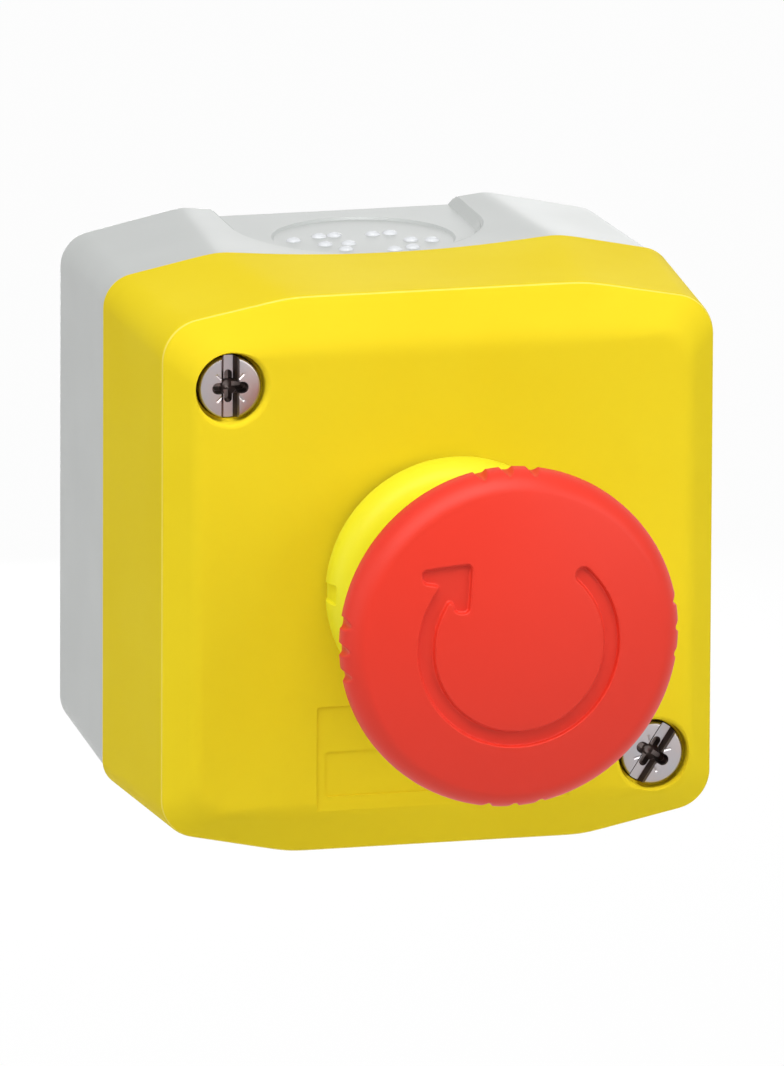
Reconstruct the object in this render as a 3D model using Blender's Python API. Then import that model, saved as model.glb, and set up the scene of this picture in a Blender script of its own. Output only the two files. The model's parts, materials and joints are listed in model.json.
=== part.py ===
"""Pushbutton control station: a grey base and a yellow cover with one red mushroom-head button.

Metres, +Z up. The origin is the middle of the base's back face, which lies on the wall.
+X is to the right and the button points along -Y, so a depth is a distance from the wall along -Y.
"""

import math

import bmesh
import bpy
import numpy as np

# Room between pieces that touch or slide on the real thing
GAP = 0.0003

# Enclosure, outside
WIDTH = 0.068
HEIGHT = 0.0662
DEPTH = 0.053
SPLIT_DEPTH = 0.0259
CHAMFER_DEPTH = 0.0031
COVER_OVERHANG = 0.00035
BACK_SIDE_TAPER = 0.00075
BACK_TOP_TAPER = 0.00025
FRONT_SIDE_TAPER = 0.00125
FRONT_TOP_TAPER = 0.0002
FACE_SIDE_BORDER = 0.00345
FACE_TOP_BORDER = 0.0055
# Where the top edge turns down, as shares of half the width
SHOULDER_BACK = 0.488
SHOULDER_SPLIT = 0.565
SHOULDER_FRONT = 0.515
HIP_SLOPE = 0.19
WAIST_DIP = 0.00115
RIDGE_SOFTNESS = 0.00015
CORNER_RADIUS = 0.004
FRONT_CORNER_RADIUS = 0.005
# Where the top edge's points lie, as shares of its shoulder
EDGE_SHARES = (1.18, 1.06, 0.96, 0.85, 0.6, 0.3)

# Enclosure, inside
FLOOR = 0.0025
COVER_WALL = 0.0025
SIDE_WALL = 0.0029
TOP_WALL = 0.00175
CAVITY_CORNER = 0.007
CAVITY_EASE = 0.0025

# Cable entries, top and bottom
ENTRY_DROP = 0.0014
ENTRY_HALF_WIDTH = 0.0144
ENTRY_END_DEPTH = 0.0253
KNOCKOUT_RADIUS = 0.01075
KNOCKOUT_CENTRE = 0.0145
KNOCKOUT_SINK = 0.00075

# Cover screws, their seals and inserts
SCREW_SIDE_INSET = 0.0088
SCREW_TOP_INSET = 0.01005
SCREW_HEAD_RADIUS = 0.00365
SCREW_HEAD_HEIGHT = 0.0024
SCREW_HEAD_SINK = 0.0008
SCREW_SHANK_RADIUS = 0.002
SCREW_LENGTH = 0.037
SCREW_HEAD_BEVEL = 0.0004
SCREW_TIP_BEVEL = 0.0006
SLOT_WIDTH = 0.0019
SLOT_DEPTH = 0.0011
CROSS_LENGTH = 0.0044
CROSS_WIDTH = 0.0011
CROSS_DEPTH = 0.0016
UPPER_SLOT_TURN = 0.0
LOWER_SLOT_TURN = -26.0
COUNTERBORE_RADIUS = 0.00415
PILLAR_RADIUS = 0.0054
BOSS_RADIUS = 0.005
SEAL_HEIGHT = 0.001
INSERT_WALL = 0.0009
INSERT_LENGTH = 0.007

# Wall fixing
WALL_HOLE_RADIUS = 0.00215
WALL_PAD_RADIUS = 0.0048
WALL_PAD_HEIGHT = 0.0015

# Cover gasket
GASKET_INSET = 0.0009
GASKET_WIDTH = 0.0008
GASKET_HEIGHT = 0.0016

# Label field on the cover
FIELD_HALF_WIDTH = 0.0150
FIELD_HEIGHT = 0.0123
FIELD_SINK = 0.0003

# Operator: collar, sleeve and neck
COLLAR_OVERHANG = 0.0043
COLLAR_FOOT_OVERHANG = 0.0027
COLLAR_RIM = 0.0058
COLLAR_BAND = 0.0006
COLLAR_NOSE = 0.009
COLLAR_NOTCH_WIDTH = 0.0023
COLLAR_NOTCH_DEPTH = 0.0004
SLEEVE_RADIUS = 0.0124
SLEEVE_LENGTH = 0.024
NECK_RADIUS = 0.011
NECK_LENGTH = 0.010
BORE_RADIUS = 0.0089
SEAL_BORE_RADIUS = 0.0098
SEAL_POCKET = 0.0043
LUG_WIDTH = 0.0026
LUG_HEIGHT = 0.0012
BEZEL_GASKET_HEIGHT = 0.0006
NUT_WALL = 0.0036
NUT_HEIGHT = 0.0052
NUT_FLANGE = 0.0013
NUT_SLOTS = 8
NUT_SLOT_WIDTH = 0.003
NUT_SLOT_DEPTH = 0.0014

# Operator: cap and stem
CAP_RADIUS = 0.0199
CAP_FRONT = 0.036
CAP_RIM = 0.0307
CAP_FLAT = 0.013
CAP_CROWN = 0.0005
CAP_EDGE = 0.0032
CAP_BAND = 0.0007
CAP_LIP_DROP = 0.0014
CAP_LIP_INSET = 0.0007
CAP_SKIRT_DROP = 0.0077
CAP_SKIRT_WALL = 0.0013
CAP_CEILING = 0.0068
SKIRT_CLEARANCE = 0.0005
STEM_RADIUS = 0.0065
STEM_SOCKET = 0.0038
STEM_TAIL = 0.002
STEM_SEAL_HEIGHT = 0.0025
NOTCH_GROUPS = 4
NOTCHES_EACH = 3
NOTCH_STEP = 8.7
NOTCH_RADIUS = 0.0006
NOTCH_DEPTH = 0.0004
ARROW_OUTER = 0.0121
ARROW_INNER = 0.0101
ARROW_SINK = 0.0009
ARROW_TAIL_ANGLE = 50.0
ARROW_NECK_ANGLE = -215.0
ARROW_STEPS = 40
ARROW_WINGS = ((-0.0110, 0.0086, 0.0009), (-0.0065, 0.0093, 0.0006), (-0.0072, 0.0049, 0.0009))

# Operator: latch, actuator and springs
TRAVEL = 0.0043
CAM_WALL = 0.0016
CAM_FRONT = 0.007
CAM_LENGTH = 0.010
CAM_RAMPS = 3
CAM_RAMP_WIDTH = 0.0032
CAM_RAMP_DEPTH = 0.003
FLANGE_RADIUS = 0.0062
FLANGE_HEIGHT = 0.002
HUB_RADIUS = 0.0035
FOOT_RADIUS = 0.0084
FOOT_HEIGHT = 0.002
# Where the foot rests, as a share of the room that its stroke leaves
FOOT_PLACE = 0.474
RETAINER_HEIGHT = 0.0016
RETAINER_BORE = 0.0042
SPRING_WIRE = 0.0004
TORSION_TURNS = 4.5
RETURN_TURNS = 3.0
CARRIER_TURNS = 3.0
CONTACT_TURNS = 3.0

# Contact blocks
BLOCK_PITCH = 0.0104
BLOCK_WIDTH = 0.0099
BLOCK_HEIGHT = 0.040
BLOCK_FRONT = 0.0270
BLOCK_FOOT = 0.0022
BLOCK_FOOT_HEIGHT = 0.003
LID_HEIGHT = 0.002
WELL_WALL = 0.0014
BARRIER_WALL = 0.0013
WELL_FLOOR = 0.003
CARRIER_STEM_WIDTH = 0.004
CARRIER_STEM_HEIGHT = 0.006
CARRIER_HALF_HEIGHT = 0.005
CARRIER_BODY = 0.0115
WINDOW_SHOULDER = 0.0015
WINDOW_HEIGHT = 0.0045
BRIDGE_HALF_LENGTH = 0.0095
BRIDGE_WIDTH = 0.0028
BRIDGE_THICKNESS = 0.0006
STRIP_WIDTH = 0.0044
STRIP_THICKNESS = 0.0008
STRIP_INNER = 0.0068
STRIP_OUTER = 0.0188
TERMINAL_Z = 0.0164
TERMINAL_HEAD_RADIUS = 0.0029
TERMINAL_HEAD_HEIGHT = 0.0022
TERMINAL_SHANK_RADIUS = 0.0014
TERMINAL_SHANK = 0.005
TERMINAL_SLOT_WIDTH = 0.0009
TERMINAL_SLOT_DEPTH = 0.0011
CLAMP_SIDE = 0.0062
CLAMP_THICKNESS = 0.0009
HOOK_WIDTH = 0.005
HOOK_WALL = 0.0014
HOOK_NOSE = 0.0011

# Sides of a turned piece, and steps of a coil's turn
ROUND = 36
SMALL_ROUND = 20
COIL_STEPS = 12
WIRE_SIDES = 6
ARC_STEPS = 5
SHARP_ANGLE = 32.0

MM = 0.001


def make_finish(name, colour, roughness, metallic=0.0):
    """A Principled material of one colour."""
    finish = bpy.data.materials.new(name)
    finish.use_nodes = True
    shader = finish.node_tree.nodes["Principled BSDF"]
    shader.inputs["Base Color"].default_value = (*colour, 1.0)
    shader.inputs["Roughness"].default_value = roughness
    shader.inputs["Metallic"].default_value = metallic
    return finish


def make_finishes():
    """The object's materials by name, colours in linear light."""
    return {
        "grey_plastic": make_finish("grey_plastic", (0.45, 0.46, 0.45), 0.5),
        "yellow_plastic": make_finish("yellow_plastic", (0.80, 0.60, 0.03), 0.4),
        "lemon_plastic": make_finish("lemon_plastic", (0.93, 0.85, 0.03), 0.4),
        "red_plastic": make_finish("red_plastic", (0.75, 0.04, 0.025), 0.4),
        "dark_plastic": make_finish("dark_plastic", (0.03, 0.03, 0.035), 0.5),
        "white_plastic": make_finish("white_plastic", (0.75, 0.75, 0.72), 0.45),
        "rubber": make_finish("rubber", (0.02, 0.02, 0.02), 0.8),
        "steel": make_finish("steel", (0.55, 0.52, 0.50), 0.3, 1.0),
        "brass": make_finish("brass", (0.75, 0.55, 0.25), 0.3, 1.0),
        "silver_contact": make_finish("silver_contact", (0.80, 0.78, 0.72), 0.3, 1.0),
    }


# Views: where the two directions of an outline and its third direction point in space


def front_view(across, up, depth):
    return (across, -depth, up)


def plan_view(across, depth, up):
    return (across, -depth, up)


def side_view(depth, up, across):
    return (across, -depth, up)


# Outlines: closed lists of flat points, anticlockwise


def circle(radius, count=ROUND, middle=(0.0, 0.0)):
    turns = [2 * math.pi * step / count for step in range(count)]
    return [(middle[0] + radius * math.cos(a), middle[1] + radius * math.sin(a)) for a in turns]


def rectangle(half_u, half_v, middle=(0.0, 0.0)):
    corners = ((1, 1), (-1, 1), (-1, -1), (1, -1))
    return [(middle[0] + u * half_u, middle[1] + v * half_v) for u, v in corners]


def rounded_rectangle(half_u, half_v, radius, count=ARC_STEPS):
    points = []
    for quarter, (u, v) in enumerate(((1, 1), (-1, 1), (-1, -1), (1, -1))):
        for step in range(count + 1):
            angle = math.radians(90 * quarter + 90 * step / count)
            across = u * (half_u - radius) + radius * math.cos(angle)
            up = v * (half_v - radius) + radius * math.sin(angle)
            points.append((across, up))
    return points


def round_over(inner, outer):
    """Points of a quarter ellipse from an inner, forward corner out and back to an outer one."""
    width = outer[0] - inner[0]
    height = inner[1] - outer[1]
    turns = [math.pi / 2 * (1 - step / ARC_STEPS) for step in range(ARC_STEPS + 1)]
    return [(inner[0] + width * math.cos(a), outer[1] + height * math.sin(a)) for a in turns]


def turned_outline(outline, degrees, middle=(0.0, 0.0)):
    """The outline turned about its own origin, then moved to its middle."""
    c = math.cos(math.radians(degrees))
    s = math.sin(math.radians(degrees))
    return [(middle[0] + u * c - v * s, middle[1] + u * s + v * c) for u, v in outline]


def ridge_height(across, half_height, shoulder, slope, dip):
    """Height of the enclosure's top edge: a dipped middle that meets a falling hip in a soft ridge."""
    hip = half_height - (abs(across) - shoulder) * slope
    middle = half_height - dip * (1 - (across / shoulder) ** 2)
    return middle - RIDGE_SOFTNESS * float(np.logaddexp(0.0, (middle - hip) / RIDGE_SOFTNESS))


def hipped_outline(half_width, half_height, shoulder, corner, slope, dip):
    """The enclosure's outline: upright sides, round corners, hips, and shoulders round a dipped middle."""
    lean = math.atan(slope)
    corner_height = half_height - (half_width - shoulder) * slope
    arc_height = corner_height - corner * math.tan((math.pi / 2 - lean) / 2)
    quarter = []
    for step in range(ARC_STEPS + 1):
        angle = (math.pi / 2 - lean) * step / ARC_STEPS
        across = half_width - corner + corner * math.cos(angle)
        quarter.append((across, arc_height + corner * math.sin(angle)))
    for share in EDGE_SHARES:
        across = share * shoulder
        quarter.append((across, ridge_height(across, half_height, shoulder, slope, dip)))
    crown = [(0.0, ridge_height(0.0, half_height, shoulder, slope, dip))]
    upper = quarter + crown + [(-u, v) for u, v in reversed(quarter)]
    return upper + [(-u, -v) for u, v in upper]


def back_outline():
    half_width = WIDTH / 2 - COVER_OVERHANG - BACK_SIDE_TAPER
    half_height = HEIGHT / 2 - COVER_OVERHANG - BACK_TOP_TAPER
    shoulder = SHOULDER_BACK * WIDTH / 2
    return hipped_outline(half_width, half_height, shoulder, CORNER_RADIUS, HIP_SLOPE, WAIST_DIP)


def split_outline(inset):
    half_width = WIDTH / 2 - inset
    half_height = HEIGHT / 2 - inset
    shoulder = SHOULDER_SPLIT * WIDTH / 2
    return hipped_outline(half_width, half_height, shoulder, CORNER_RADIUS, HIP_SLOPE, WAIST_DIP)


def front_outline():
    half_width = WIDTH / 2 - FRONT_SIDE_TAPER
    half_height = HEIGHT / 2 - FRONT_TOP_TAPER
    shoulder = SHOULDER_FRONT * WIDTH / 2
    return hipped_outline(half_width, half_height, shoulder, FRONT_CORNER_RADIUS, HIP_SLOPE, 0.0)


def face_half_height():
    return HEIGHT / 2 - FRONT_TOP_TAPER - FACE_TOP_BORDER


def face_outline():
    half_width = WIDTH / 2 - FRONT_SIDE_TAPER - FACE_SIDE_BORDER
    shoulder = SHOULDER_FRONT * WIDTH / 2
    return hipped_outline(half_width, face_half_height(), shoulder, CORNER_RADIUS, 0.0, 0.0)


def entry_floor():
    """Height of the flat floor that the knock-out lies in."""
    return HEIGHT / 2 - COVER_OVERHANG - BACK_TOP_TAPER - ENTRY_DROP


def cavity_half_width():
    return WIDTH / 2 - COVER_OVERHANG - BACK_SIDE_TAPER - SIDE_WALL


def cavity_half_height():
    return entry_floor() - TOP_WALL


def cavity_outline(grow=0.0):
    return rounded_rectangle(cavity_half_width() + grow, cavity_half_height() + grow, CAVITY_CORNER + grow)


# Solids


def skin(name, rings, closed=False):
    """One closed body through rings of equal count, capped at both ends or joined end to end."""
    mesh = bpy.data.meshes.new(name)
    body = bmesh.new()
    loops = [[body.verts.new(point) for point in ring] for ring in rings]
    pairs = list(zip(loops, loops[1:]))
    if closed:
        pairs.append((loops[-1], loops[0]))
    else:
        body.faces.new(loops[0])
        body.faces.new(loops[-1])
    for low, high in pairs:
        for here in range(len(low)):
            after = (here + 1) % len(low)
            body.faces.new((low[here], low[after], high[after], high[here]))
    bmesh.ops.recalc_face_normals(body, faces=body.faces)
    body.to_mesh(mesh)
    body.free()
    return bpy.data.objects.new(name, mesh)


def loft(name, levels):
    """A body through front-view outlines, each with its depth."""
    return skin(name, [[front_view(u, v, depth) for u, v in outline] for outline, depth in levels])


def extrusion(name, outline, low, high, view=front_view):
    return skin(name, [[view(u, v, level) for u, v in outline] for level in (low, high)])


def turned(name, profile, middle=(0.0, 0.0), count=ROUND):
    """A solid of revolution about the depth axis, from radius and depth pairs, flat at both ends."""
    return loft(name, [(circle(radius, count, middle), depth) for radius, depth in profile])


def turned_ring(name, profile, middle=(0.0, 0.0), count=ROUND):
    """A ring about the depth axis, from a closed profile of radius and depth pairs."""
    rings = [[front_view(u, v, depth) for u, v in circle(radius, count, middle)] for radius, depth in profile]
    return skin(name, rings, closed=True)


def tube(name, inner, outer, low, high, middle=(0.0, 0.0), count=ROUND):
    return turned_ring(name, ((inner, low), (outer, low), (outer, high), (inner, high)), middle, count)


def coil(name, mean_radius, low, high, turns, middle=(0.0, 0.0)):
    """A round wire wound about the depth axis, between two depths."""
    steps = int(turns * COIL_STEPS)
    rings = []
    for step in range(steps + 1):
        angle = 2 * math.pi * step / COIL_STEPS
        depth = low + SPRING_WIRE + (high - low - 2 * SPRING_WIRE) * step / steps
        ring = []
        for side in range(WIRE_SIDES):
            turn = 2 * math.pi * side / WIRE_SIDES
            reach = mean_radius + SPRING_WIRE * math.cos(turn)
            across = middle[0] + reach * math.cos(angle)
            up = middle[1] + reach * math.sin(angle)
            ring.append(front_view(across, up, depth + SPRING_WIRE * math.sin(turn)))
        rings.append(ring)
    return skin(name, rings)


def shape(solid, tools, operation):
    """Join tools to a solid or cut them from it, and keep only the result."""
    for tool in tools:
        bpy.context.scene.collection.objects.link(tool)
    bpy.context.scene.collection.objects.link(solid)
    for tool in tools:
        step = solid.modifiers.new(tool.name, "BOOLEAN")
        step.operation = operation
        step.solver = "EXACT"
        step.object = tool
    view = bpy.context.evaluated_depsgraph_get()
    result = bpy.data.meshes.new_from_object(solid.evaluated_get(view))
    solid.modifiers.clear()
    solid.data = result
    bpy.context.scene.collection.objects.unlink(solid)
    for tool in tools:
        bpy.data.objects.remove(tool)
    return solid


def cut(solid, tools):
    return shape(solid, tools, "DIFFERENCE")


def join(solid, tools):
    return shape(solid, tools, "UNION")


def place(solid, finish, round_edges=True, parent=None):
    """Give a solid its finish and its shading, and put its origin on its parent's axis if it has one."""
    solid.data.materials.clear()
    solid.data.materials.append(finish)
    bpy.context.scene.collection.objects.link(solid)
    if round_edges:
        solid.data.shade_smooth()
        solid.data.set_sharp_from_angle(angle=math.radians(SHARP_ANGLE))
    if parent:
        for vertex in solid.data.vertices:
            vertex.co -= parent.location
        solid.parent = parent
    return solid


def make_axis(name, x, depth, z):
    """An empty that marks where a moving group's axis runs, along the depth direction."""
    axis = bpy.data.objects.new(name, None)
    axis.location = (x, -depth, z)
    axis.empty_display_size = 5 * MM
    bpy.context.scene.collection.objects.link(axis)
    return axis


# Enclosure


def screw_x():
    return WIDTH / 2 - SCREW_SIDE_INSET


def screw_z():
    return HEIGHT / 2 - SCREW_TOP_INSET


def screw_places():
    """Name, middle and slot turn of each cover screw."""
    return (
        ("upper_left", (-screw_x(), screw_z()), UPPER_SLOT_TURN),
        ("lower_right", (screw_x(), -screw_z()), LOWER_SLOT_TURN),
    )


def wall_hole_places():
    return ((screw_x(), screw_z()), (-screw_x(), -screw_z()))


def base_rim():
    return SPLIT_DEPTH - GAP / 2


def cover_rim():
    return SPLIT_DEPTH + GAP / 2


def cover_inside():
    return DEPTH - COVER_WALL


def screw_seat():
    """Depth of the underside of a cover screw's head."""
    return DEPTH - SCREW_HEAD_SINK - SCREW_HEAD_HEIGHT


def counterbore_floor():
    return screw_seat() - SEAL_HEIGHT - 2 * GAP


def entry_cutter(sign):
    """The U-shaped sink round a cable entry, open at the back and round at the front."""
    middle = ENTRY_END_DEPTH - ENTRY_HALF_WIDTH
    outline = [(ENTRY_HALF_WIDTH, -MM), (ENTRY_HALF_WIDTH, middle)]
    for step in range(1, 2 * ARC_STEPS):
        angle = math.pi * step / (2 * ARC_STEPS)
        outline.append((ENTRY_HALF_WIDTH * math.cos(angle), middle + ENTRY_HALF_WIDTH * math.sin(angle)))
    outline += [(-ENTRY_HALF_WIDTH, middle), (-ENTRY_HALF_WIDTH, -MM)]
    return extrusion("entry", outline, sign * entry_floor(), sign * HEIGHT, plan_view)


def knockout_cutter(sign):
    outline = circle(KNOCKOUT_RADIUS, ROUND, (0.0, KNOCKOUT_CENTRE))
    low = entry_floor() - KNOCKOUT_SINK
    return extrusion("knockout", outline, sign * low, sign * HEIGHT, plan_view)


def block_foot_end():
    return BLOCK_HEIGHT / 2 + BLOCK_FOOT


def hook(side, end):
    """A post with a nose over a contact block's foot; side and end are -1 or 1."""
    across = side * BLOCK_PITCH / 2
    near = block_foot_end() + GAP
    top = FLOOR + GAP + BLOCK_FOOT_HEIGHT + GAP
    nose = near - HOOK_NOSE
    outer = near + HOOK_WALL
    tip = top + HOOK_WALL
    profile = [(FLOOR - MM, near), (top, near), (top, nose), (tip, nose), (tip, outer), (FLOOR - MM, outer)]
    outline = [(depth, end * up) for depth, up in profile]
    return extrusion("hook", outline, across - HOOK_WIDTH / 2, across + HOOK_WIDTH / 2, side_view)


def make_base(finish):
    base = loft("base", [(back_outline(), 0.0), (split_outline(COVER_OVERHANG), base_rim())])
    cavity = extrusion("cavity", cavity_outline(), FLOOR, SPLIT_DEPTH + MM)
    entries = [maker(sign) for sign in (1, -1) for maker in (entry_cutter, knockout_cutter)]
    cut(base, [cavity] + entries)
    bosses = [turned("boss", ((BOSS_RADIUS, FLOOR - MM), (BOSS_RADIUS, base_rim())), middle)
              for _, middle, _ in screw_places()]
    pads = [turned("pad", ((WALL_PAD_RADIUS, FLOOR - MM), (WALL_PAD_RADIUS, FLOOR + WALL_PAD_HEIGHT)), middle)
            for middle in wall_hole_places()]
    hooks = [hook(side, end) for side in (-1, 1) for end in (-1, 1)]
    join(base, bosses + pads + hooks)
    wide = SCREW_SHANK_RADIUS + GAP + INSERT_WALL + GAP
    seat = base_rim() - INSERT_LENGTH - GAP
    tip = screw_seat() - SCREW_LENGTH - MM
    insert_holes = [turned("insert_hole", ((wide, seat), (wide, SPLIT_DEPTH + MM)), middle, SMALL_ROUND)
                    for _, middle, _ in screw_places()]
    through = SCREW_SHANK_RADIUS + GAP
    tip_holes = [turned("tip_hole", ((through, tip), (through, SPLIT_DEPTH)), middle, SMALL_ROUND)
                 for _, middle, _ in screw_places()]
    wall_hole = ((WALL_HOLE_RADIUS, -MM), (WALL_HOLE_RADIUS, SPLIT_DEPTH))
    wall_holes = [turned("wall_hole", wall_hole, middle, SMALL_ROUND) for middle in wall_hole_places()]
    cut(base, insert_holes + tip_holes + wall_holes)
    return place(base, finish)


def gasket_outlines(spare):
    """Inner and outer outline of the gasket, or of its groove with a spare width."""
    inner = cavity_outline(GASKET_INSET - spare)
    outer = cavity_outline(GASKET_INSET + GASKET_WIDTH + spare)
    return inner, outer


def ring_body(name, inner, outer, low, high):
    """A ring of rectangular section between two front-view outlines."""
    levels = ((inner, low), (outer, low), (outer, high), (inner, high))
    rings = [[front_view(u, v, depth) for u, v in outline] for outline, depth in levels]
    return skin(name, rings, closed=True)


def field_cutter():
    """The shallow label field, which runs out through the face's lower edge."""
    top = FIELD_HEIGHT - face_half_height()
    bottom = -HEIGHT / 2
    outline = rectangle(FIELD_HALF_WIDTH, (top - bottom) / 2, (0.0, (top + bottom) / 2))
    return extrusion("field", outline, DEPTH - FIELD_SINK, DEPTH + MM)


def panel_hole():
    """The operator's hole, with the notch that its key lug sits in."""
    hole = turned("panel_hole", ((NECK_RADIUS + GAP, SPLIT_DEPTH), (NECK_RADIUS + GAP, DEPTH + MM)))
    top = NECK_RADIUS + LUG_HEIGHT + GAP
    notch = rectangle(LUG_WIDTH / 2 + GAP, top / 2, (0.0, top / 2))
    return join(hole, [extrusion("notch", notch, SPLIT_DEPTH, DEPTH + MM)])


def make_cover(finish):
    levels = [
        (split_outline(0.0), cover_rim()),
        (front_outline(), DEPTH - CHAMFER_DEPTH),
        (face_outline(), DEPTH),
    ]
    cover = loft("cover", levels)
    cavity = loft("cavity", [
        (cavity_outline(), SPLIT_DEPTH - MM),
        (cavity_outline(), cover_inside() - CAVITY_EASE),
        (cavity_outline(-CAVITY_EASE), cover_inside()),
    ])
    cut(cover, [cavity])
    pillars = [turned("pillar", ((PILLAR_RADIUS, cover_rim()), (PILLAR_RADIUS, cover_inside() + MM)), middle)
               for _, middle, _ in screw_places()]
    join(cover, pillars)
    inner, outer = gasket_outlines(GAP)
    groove = ring_body("groove", inner, outer, SPLIT_DEPTH - MM, cover_rim() + GASKET_HEIGHT + GAP)
    bores = []
    for _, middle, _ in screw_places():
        through = SCREW_SHANK_RADIUS + GAP
        bores.append(turned("bore", ((through, SPLIT_DEPTH - MM), (through, DEPTH)), middle, SMALL_ROUND))
        sink = ((COUNTERBORE_RADIUS, counterbore_floor()), (COUNTERBORE_RADIUS, DEPTH + MM))
        bores.append(turned("counterbore", sink, middle))
    cut(cover, [groove, panel_hole(), field_cutter()] + bores)
    return place(cover, finish)


def make_cover_gasket(finish):
    inner, outer = gasket_outlines(0.0)
    return place(ring_body("cover_gasket", inner, outer, cover_rim(), cover_rim() + GASKET_HEIGHT), finish)


def make_cover_screw(name, middle, slot_turn, finish):
    top = screw_seat() + SCREW_HEAD_HEIGHT
    tip = screw_seat() - SCREW_LENGTH
    profile = (
        (SCREW_SHANK_RADIUS - SCREW_TIP_BEVEL, tip),
        (SCREW_SHANK_RADIUS, tip + SCREW_TIP_BEVEL),
        (SCREW_SHANK_RADIUS, screw_seat()),
        (SCREW_HEAD_RADIUS, screw_seat()),
        (SCREW_HEAD_RADIUS, top - SCREW_HEAD_BEVEL),
        (SCREW_HEAD_RADIUS - SCREW_HEAD_BEVEL, top),
    )
    screw = turned("cover_screw_" + name, profile, middle)
    slot = turned_outline(rectangle(SLOT_WIDTH / 2, SCREW_HEAD_RADIUS + MM), slot_turn, middle)
    upright = turned_outline(rectangle(CROSS_WIDTH / 2, CROSS_LENGTH / 2), slot_turn, middle)
    level = turned_outline(rectangle(CROSS_LENGTH / 2, CROSS_WIDTH / 2), slot_turn, middle)
    cut(screw, [
        extrusion("slot", slot, top - SLOT_DEPTH, top + MM),
        extrusion("upright", upright, top - CROSS_DEPTH, top + MM),
        extrusion("level", level, top - CROSS_DEPTH, top + MM),
    ])
    return place(screw, finish)


def make_screw_seal(name, middle, finish):
    low = counterbore_floor() + GAP
    inner = SCREW_SHANK_RADIUS + GAP
    seal = tube("screw_seal_" + name, inner, SCREW_HEAD_RADIUS, low, low + SEAL_HEIGHT, middle, SMALL_ROUND)
    return place(seal, finish)


def make_insert(name, middle, finish):
    inner = SCREW_SHANK_RADIUS + GAP
    low = base_rim() - INSERT_LENGTH
    insert = tube("threaded_insert_" + name, inner, inner + INSERT_WALL, low, base_rim(), middle, SMALL_ROUND)
    return place(insert, finish)


# Operator


def collar_foot():
    return DEPTH + BEZEL_GASKET_HEIGHT + 2 * GAP


def collar_radius():
    return NECK_RADIUS + COLLAR_OVERHANG


def collar_foot_radius():
    return NECK_RADIUS + COLLAR_FOOT_OVERHANG


def sleeve_front():
    return DEPTH + SLEEVE_LENGTH


def neck_back():
    return DEPTH - NECK_LENGTH


def seal_seat():
    return sleeve_front() - SEAL_POCKET


def make_bezel(finish):
    rim = DEPTH + COLLAR_RIM
    nose = DEPTH + COLLAR_NOSE
    profile = (
        (BORE_RADIUS, neck_back()),
        (NECK_RADIUS, neck_back()),
        (NECK_RADIUS, collar_foot()),
        (collar_foot_radius(), collar_foot()),
        (collar_radius(), rim - COLLAR_BAND),
        *reversed(round_over((SLEEVE_RADIUS, nose), (collar_radius(), rim))),
        (SLEEVE_RADIUS - GAP, sleeve_front()),
        (SEAL_BORE_RADIUS, sleeve_front()),
        (SEAL_BORE_RADIUS, seal_seat()),
        (BORE_RADIUS, seal_seat()),
    )
    bezel = turned_ring("bezel", profile)
    root = (BORE_RADIUS + NECK_RADIUS) / 2
    top = NECK_RADIUS + LUG_HEIGHT
    lug = rectangle(LUG_WIDTH / 2, (top - root) / 2, (0.0, (top + root) / 2))
    join(bezel, [extrusion("lug", lug, cover_inside(), collar_foot() + GAP)])
    notch = rectangle(COLLAR_NOTCH_DEPTH, COLLAR_NOTCH_WIDTH / 2, (-collar_radius(), 0.0))
    cut(bezel, [extrusion("notch", notch, DEPTH, nose)])
    return place(bezel, finish)


def make_bezel_gasket(finish):
    inner = NECK_RADIUS + LUG_HEIGHT + GAP
    low = DEPTH + GAP
    gasket = tube("bezel_gasket", inner, collar_foot_radius() - GAP, low, low + BEZEL_GASKET_HEIGHT)
    return place(gasket, finish)


def make_operator_nut(finish):
    high = cover_inside() - GAP
    outer = NECK_RADIUS + NUT_WALL
    nut = tube("operator_nut", NECK_RADIUS + GAP, outer, high - NUT_HEIGHT, high)
    slots = []
    for number in range(NUT_SLOTS):
        slot = rectangle(NUT_SLOT_DEPTH, NUT_SLOT_WIDTH / 2, (outer, 0.0))
        turned_slot = turned_outline(slot, 360 * (number + 0.5) / NUT_SLOTS)
        slots.append(extrusion("slot", turned_slot, high - NUT_HEIGHT - MM, high - NUT_FLANGE))
    cut(nut, slots)
    return place(nut, finish)


def cap_ceiling():
    return DEPTH + CAP_FRONT - CAP_CEILING


def stem_front():
    return cap_ceiling() + STEM_SOCKET - GAP


def stem_back():
    return DEPTH + STEM_TAIL


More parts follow.
